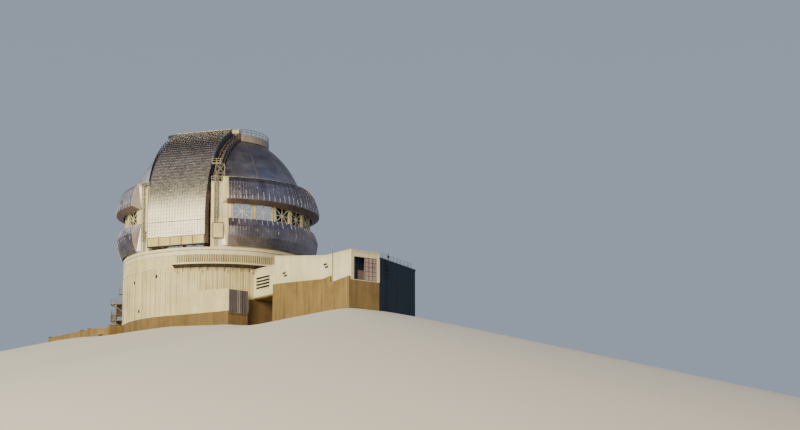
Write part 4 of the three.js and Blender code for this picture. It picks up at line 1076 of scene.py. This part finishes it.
# Ladder with hoops that stand out as half ellipses, joined by straps
def cagedLadder(form, side, at):
    face, top = form["face"], form["head"] + form["above"]
    stile = np.array([at - form["halfTurn"], at + form["halfTurn"]])
    first, last, pitch = form["rungs"]
    rungs = np.arange(form["foot"] + first, form["head"] + last, pitch)
    hoopTurn = np.linspace(-0.5 * np.pi, 0.5 * np.pi, 7)[:, None]
    hoopPitch, hoop = form["hoop"]
    levels = np.arange(form["cageFoot"][side], top, hoopPitch)
    out, beside = around(1.0, at, 0), np.array([math.cos(at), math.sin(at), 0])
    ring = (around(form["cageFace"], at, 0) + np.cos(hoopTurn) * form["cage"] * form["cageDepth"] * out
            + np.sin(hoopTurn) * form["cage"] * beside)
    return [axisBars(stile, (face, form["foot"]), (face, top), form["stile"]),
            bars(around(face, stile[0], rungs), around(face, stile[1], rungs), form["rung"], sides=6),
            bars(ring + (0, 0, levels[0]), ring + (0, 0, levels[-1]), hoop),
            *[bars(ring[:-1] + (0, 0, z), ring[1:] + (0, 0, z), hoop) for z in levels]]


def makePiers(form):
    for side, sign in halves:
        duct, panel = (sweptRing(form[k + "Section"], np.radians(sign * np.array(form[k])))
                       for k in ("duct", "panel"))
        makePiece("pierDuct_" + side, [duct, panel], whiteSheet, "dome")
        ladder = cagedLadder(form, side, math.radians(sign * form["ladder"]))
        makePiece("pierLadder_" + side, ladder, ladderPaint, "dome")
        edge = np.linspace(*(sign * math.radians(turn) for turn in form["deck"]), 5)
        radius, height = form["railFoot"]
        deck = [sweptRing(form["deckSection"], edge), railing(around(radius, edge, height), form["rail"])]
        makePiece("pierDeck_" + side, deck, whiteSheet, "dome")


def makeCabinetFrame(form):
    edges, face, low, high = np.radians(form["turns"]), form["face"], form["low"], form["high"]
    parts = [axisBars(edges, (face, low), (face, high), form["bar"])]
    parts += [bars(around(face, edges[0], z), around(face, edges[1], z), form["bar"]) for z in (low, high)]
    makePiece("cabinetFrame", parts, girderSteel, "dome")


makePiers(pier)
makeCabinetFrame(cabinet)

# Braced tower on the right front pier's top, with a pale landing at its head beside the shutter
tower = {"turns": (23.9, 29.2), "radii": (17.1, 17.8), "foot": 28.12, "head": 31.5, "post": 0.12, "ring": 0.1,
         "brace": 0.09, "landing": (21.6, 26.5), "landingEdge": 18.05, "landingRise": (0.06, 0.16),
         "railRadius": 18.0,
         "rail": {"spacing": 0.8, "height": 0.9, "post": 0.06, "rail": 0.05, "levels": [0.45, 0.88]}}


def makeTower(form):
    a, b = (math.radians(t) for t in form["turns"])
    inner, outer = form["radii"]
    turn, radius = np.array([a, b, b, a]), np.array([outer, outer, inner, inner])
    middle = (form["foot"] + form["head"]) / 2
    feet, mids, heads = (around(radius, turn, z) for z in (form["foot"], middle, form["head"]))
    storeys = ((feet, mids), (mids, heads))
    parts = [bars(feet, heads, form["post"])]
    parts += [bars(p, np.roll(p, -1, 0), form["ring"]) for p in (mids, heads)]
    parts += [bars(p, np.roll(q, -1, 0), form["brace"]) for p, q in storeys]
    parts += [bars(np.roll(p, -1, 0), q, form["brace"]) for p, q in storeys]
    makePiece("pierTower", parts, towerPaint, "dome")
    edge = np.radians(np.linspace(*form["landing"], 4))
    low, high = (form["head"] + rise for rise in form["landingRise"])
    end = form["landingEdge"]
    landing = [sweptRing([[inner, low], [end, low], [end, high], [inner, high]], edge),
               railing(around(form["railRadius"], edge, high), form["rail"])]
    makePiece("towerLanding", landing, creamSheet, "dome")


makeTower(tower)

# Cover strips along the shell's meridian joints, each a flat bar bent over the sphere
shellStrip = {"turns": (53.5, 126.5), "radii": (16.85, 16.95), "lifts": (14.5, 51.0), "half": 0.13, "steps": 19}


def makeShellStrips(form):
    lifts = np.radians(np.linspace(*form["lifts"], form["steps"] + 1))
    for side, sign in halves:
        strips = []
        for turn in sign * np.radians(form["turns"]):
            beside = np.array([math.cos(turn), math.sin(turn), 0]) * form["half"]
            low, high = (around(r * np.cos(lifts), turn, domeCentre + r * np.sin(lifts)) for r in form["radii"])
            strips.append(sectionSolid(np.stack([low - beside, low + beside, high + beside, high - beside], 1)))
        makePiece("shellStrips_" + side, strips, stripMetal, "dome")


makeShellStrips(shellStrip)

# Crown: handrails on the kerbs, and stepped walks with handrails up the outside of the girders
crown = {"radius": 9.7, "top": 39.45, "kerb": (52, 128), "kerbSteps": 19, "walk": (16, 62), "walkSteps": 23,
         "beside": 7.45, "girderTop": 15.8, "treads": (6.8, 7.5), "tread": (0.28, 0.05), "treadTurn": 1.3,
         "treadLift": 0.03,
         "rail": {"spacing": 1.2, "height": 1.02, "post": 0.09, "rail": 0.08, "levels": [0.5, 1.0]},
         "walkRail": {"spacing": 1.2, "height": 0.95, "post": 0.16, "rail": 0.14, "levels": [0.12, 0.5, 0.9]}}


def makeCrown(form):
    low, high = form["walk"]
    top = form["girderTop"]
    for side, sign in halves:
        kerb = np.radians(sign * np.linspace(*form["kerb"], form["kerbSteps"] + 1))
        parts = [railing(around(form["radius"], kerb, form["top"]), form["rail"])]
        for ends in ((low, high), (180 - high, 180 - low)):
            lifts = np.radians(np.linspace(*ends, form["walkSteps"] + 1))
            parts.append(railing(onArch(sign * form["beside"], top, lifts), form["walkRail"]))
        steps = np.radians(np.arange(low, high, form["treadTurn"]))
        near, far = (onArch(sign * u, top + form["treadLift"], steps) for u in form["treads"])
        parts.append(bars(near, far, *form["tread"], (0, 1, 0)))
        makePiece("crownRails_" + side, parts, darkRailPaint, "dome")


makeCrown(crown)
print("piers and crown dressed")

# Plain stage: a pale hill top that is level under the building's footprint and falls away from it at 15
# degrees, in model metres
stageForm = {"level": -0.01, "reach": 62.0, "fall": math.tan(math.radians(15)), "rings": 60, "spokes": 144,
             "firstRing": 0.002, "spread": 2.2, "soft": 0.2, "colour": "#d9d4cc", "roughness": 0.9}
footprint = np.array([[-3.5, 1.3], [-2.5, -0.6], [-1.9, -0.9], [-0.8, -2.0], [0.2, -2.35], [0.8, -2.2],
                      [2.35, -4.35], [2.95, -4.0], [3.7, -2.7], [3.1, -1.6], [1.9, 0.5], [0.5, 1.95],
                      [-1.0, 1.7], [-3.3, 1.6]])


# Distance from plan points to a polygon: the least distance to a side, and zero inside by winding
def distanceOutside(points, polygon):
    side = np.roll(polygon, -1, 0) - polygon
    toStart, toEnd = points[:, None] - polygon[None], points[:, None] - np.roll(polygon, -1, 0)[None]
    share = np.clip((toStart * side).sum(-1) / (side * side).sum(-1), 0, 1)
    least = np.linalg.norm(toStart - share[..., None] * side, axis=-1).min(1)
    cross = toStart[..., 0] * toEnd[..., 1] - toStart[..., 1] * toEnd[..., 0]
    winding = np.arctan2(cross, (toStart * toEnd).sum(-1)).sum(1)
    return np.where(np.abs(winding) > math.pi, 0.0, least)


# Polar grid whose height falls with the distance from the footprint, rounded off over the first of it
def makeStage(form):
    ring = form["reach"] * np.linspace(form["firstRing"], 1, form["rings"]) ** form["spread"]
    turn = np.arange(form["spokes"]) * 2 * np.pi / form["spokes"]
    x, y = np.outer(ring, np.cos(turn)), np.outer(ring, np.sin(turn))
    away = distanceOutside(np.stack([x.ravel(), y.ravel()], 1), footprint).reshape(x.shape)
    drop = (np.sqrt(away ** 2 + form["soft"] ** 2) - form["soft"]) * form["fall"]
    points = np.stack([x, y, form["level"] - drop], -1)
    mesh = bpy.data.meshes.new("stageHill")
    faces = gridFaces(form["rings"], form["spokes"], False, True)
    mesh.from_pydata(points.reshape(-1, 3).tolist(), [], faces.tolist() + [list(range(form["spokes"]))])
    mesh.shade_smooth()
    hill = bpy.data.objects.new("stageHill", mesh)
    bpy.context.scene.collection.objects.link(hill)
    material, tree, shader, place = newMaterial("paleStage")
    shader.inputs["Base Color"].default_value = linearColour(form["colour"])
    shader.inputs["Roughness"].default_value = form["roughness"]
    mesh.materials.append(material)


makeStage(stageForm)

# Camera below the floor's level, looking up as the photograph does
view = {"place": (0, -50.992, -7.6445), "yaw": 3.991, "pitch": 11.3, "focalPixels": 2660, "imageWidth": 800,
        "sensor": 36, "clipEnd": 400}


def makeCamera(form):
    data = bpy.data.cameras.new("camera")
    data.sensor_width = form["sensor"]
    data.lens = form["focalPixels"] / form["imageWidth"] * form["sensor"]
    data.clip_end = form["clipEnd"]
    camera = bpy.data.objects.new("camera", data)
    camera.location = form["place"]
    camera.rotation_euler = (math.radians(90 + form["pitch"]), 0, -math.radians(form["yaw"]))
    bpy.context.scene.collection.objects.link(camera)
    bpy.context.scene.camera = camera


makeCamera(view)

# Soft studio light: a warm low key and glow from the left front, a cool fill from the right, a pale one from
# the rear, and a sky that darkens towards the zenith
lights = {
    "key": {"azimuth": -24, "elevation": 14, "distance": 60, "size": 26, "power": 40000, "colour": "#ffe6c0"},
    "glow": {"azimuth": -55, "elevation": 16, "distance": 60, "size": 22, "power": 21000, "colour": "#f8ffd2"},
    "fill": {"azimuth": 75, "elevation": 35, "distance": 55, "size": 30, "power": 1500, "colour": "#9cbcff"},
    "rear": {"azimuth": 235, "elevation": 35, "distance": 60, "size": 30, "power": 8000, "colour": "#dfe6f5"},
}
lightTarget = np.array([0, 0, 2.0])
sky = {"low": "#a9b6c8", "high": "#56637a", "from": 0.22, "to": 0.75, "strength": 0.78}


def makeLights():
    for name, form in lights.items():
        data = bpy.data.lights.new(name, "AREA")
        data.size = form["size"]
        data.energy = form["power"]
        data.color = linearColour(form["colour"])[:3]
        lamp = bpy.data.objects.new(name, data)
        a, e = math.radians(form["azimuth"]), math.radians(form["elevation"])
        away = np.array([math.sin(a) * math.cos(e), -math.cos(a) * math.cos(e), math.sin(e)])
        lamp.location = away * form["distance"] + lightTarget
        lamp.rotation_euler = (math.pi / 2 - e, 0, a)
        bpy.context.scene.collection.objects.link(lamp)


def makeSky(form):
    world = bpy.data.worlds.new("softSky")
    world.use_nodes = True
    tree = world.node_tree
    back = tree.nodes["Background"]
    towards = addNode(tree, "SeparateXYZ", inputs={
        "Vector": addNode(tree, "TexCoord").outputs["Generated"]})
    rise = addNode(tree, "MapRange", {"interpolation_type": "SMOOTHSTEP"}, {
        "Value": towards.outputs["Z"], "From Min": form["from"], "From Max": form["to"]})
    blend = addNode(tree, "Mix", {"data_type": "RGBA"}, {
        "Factor": rise.outputs[0], 6: linearColour(form["low"]), 7: linearColour(form["high"])})
    tree.links.new(blend.outputs[2], back.inputs["Color"])
    back.inputs["Strength"].default_value = form["strength"]
    bpy.context.scene.world = world


makeLights()
makeSky(sky)
print("stage, camera and lights made")
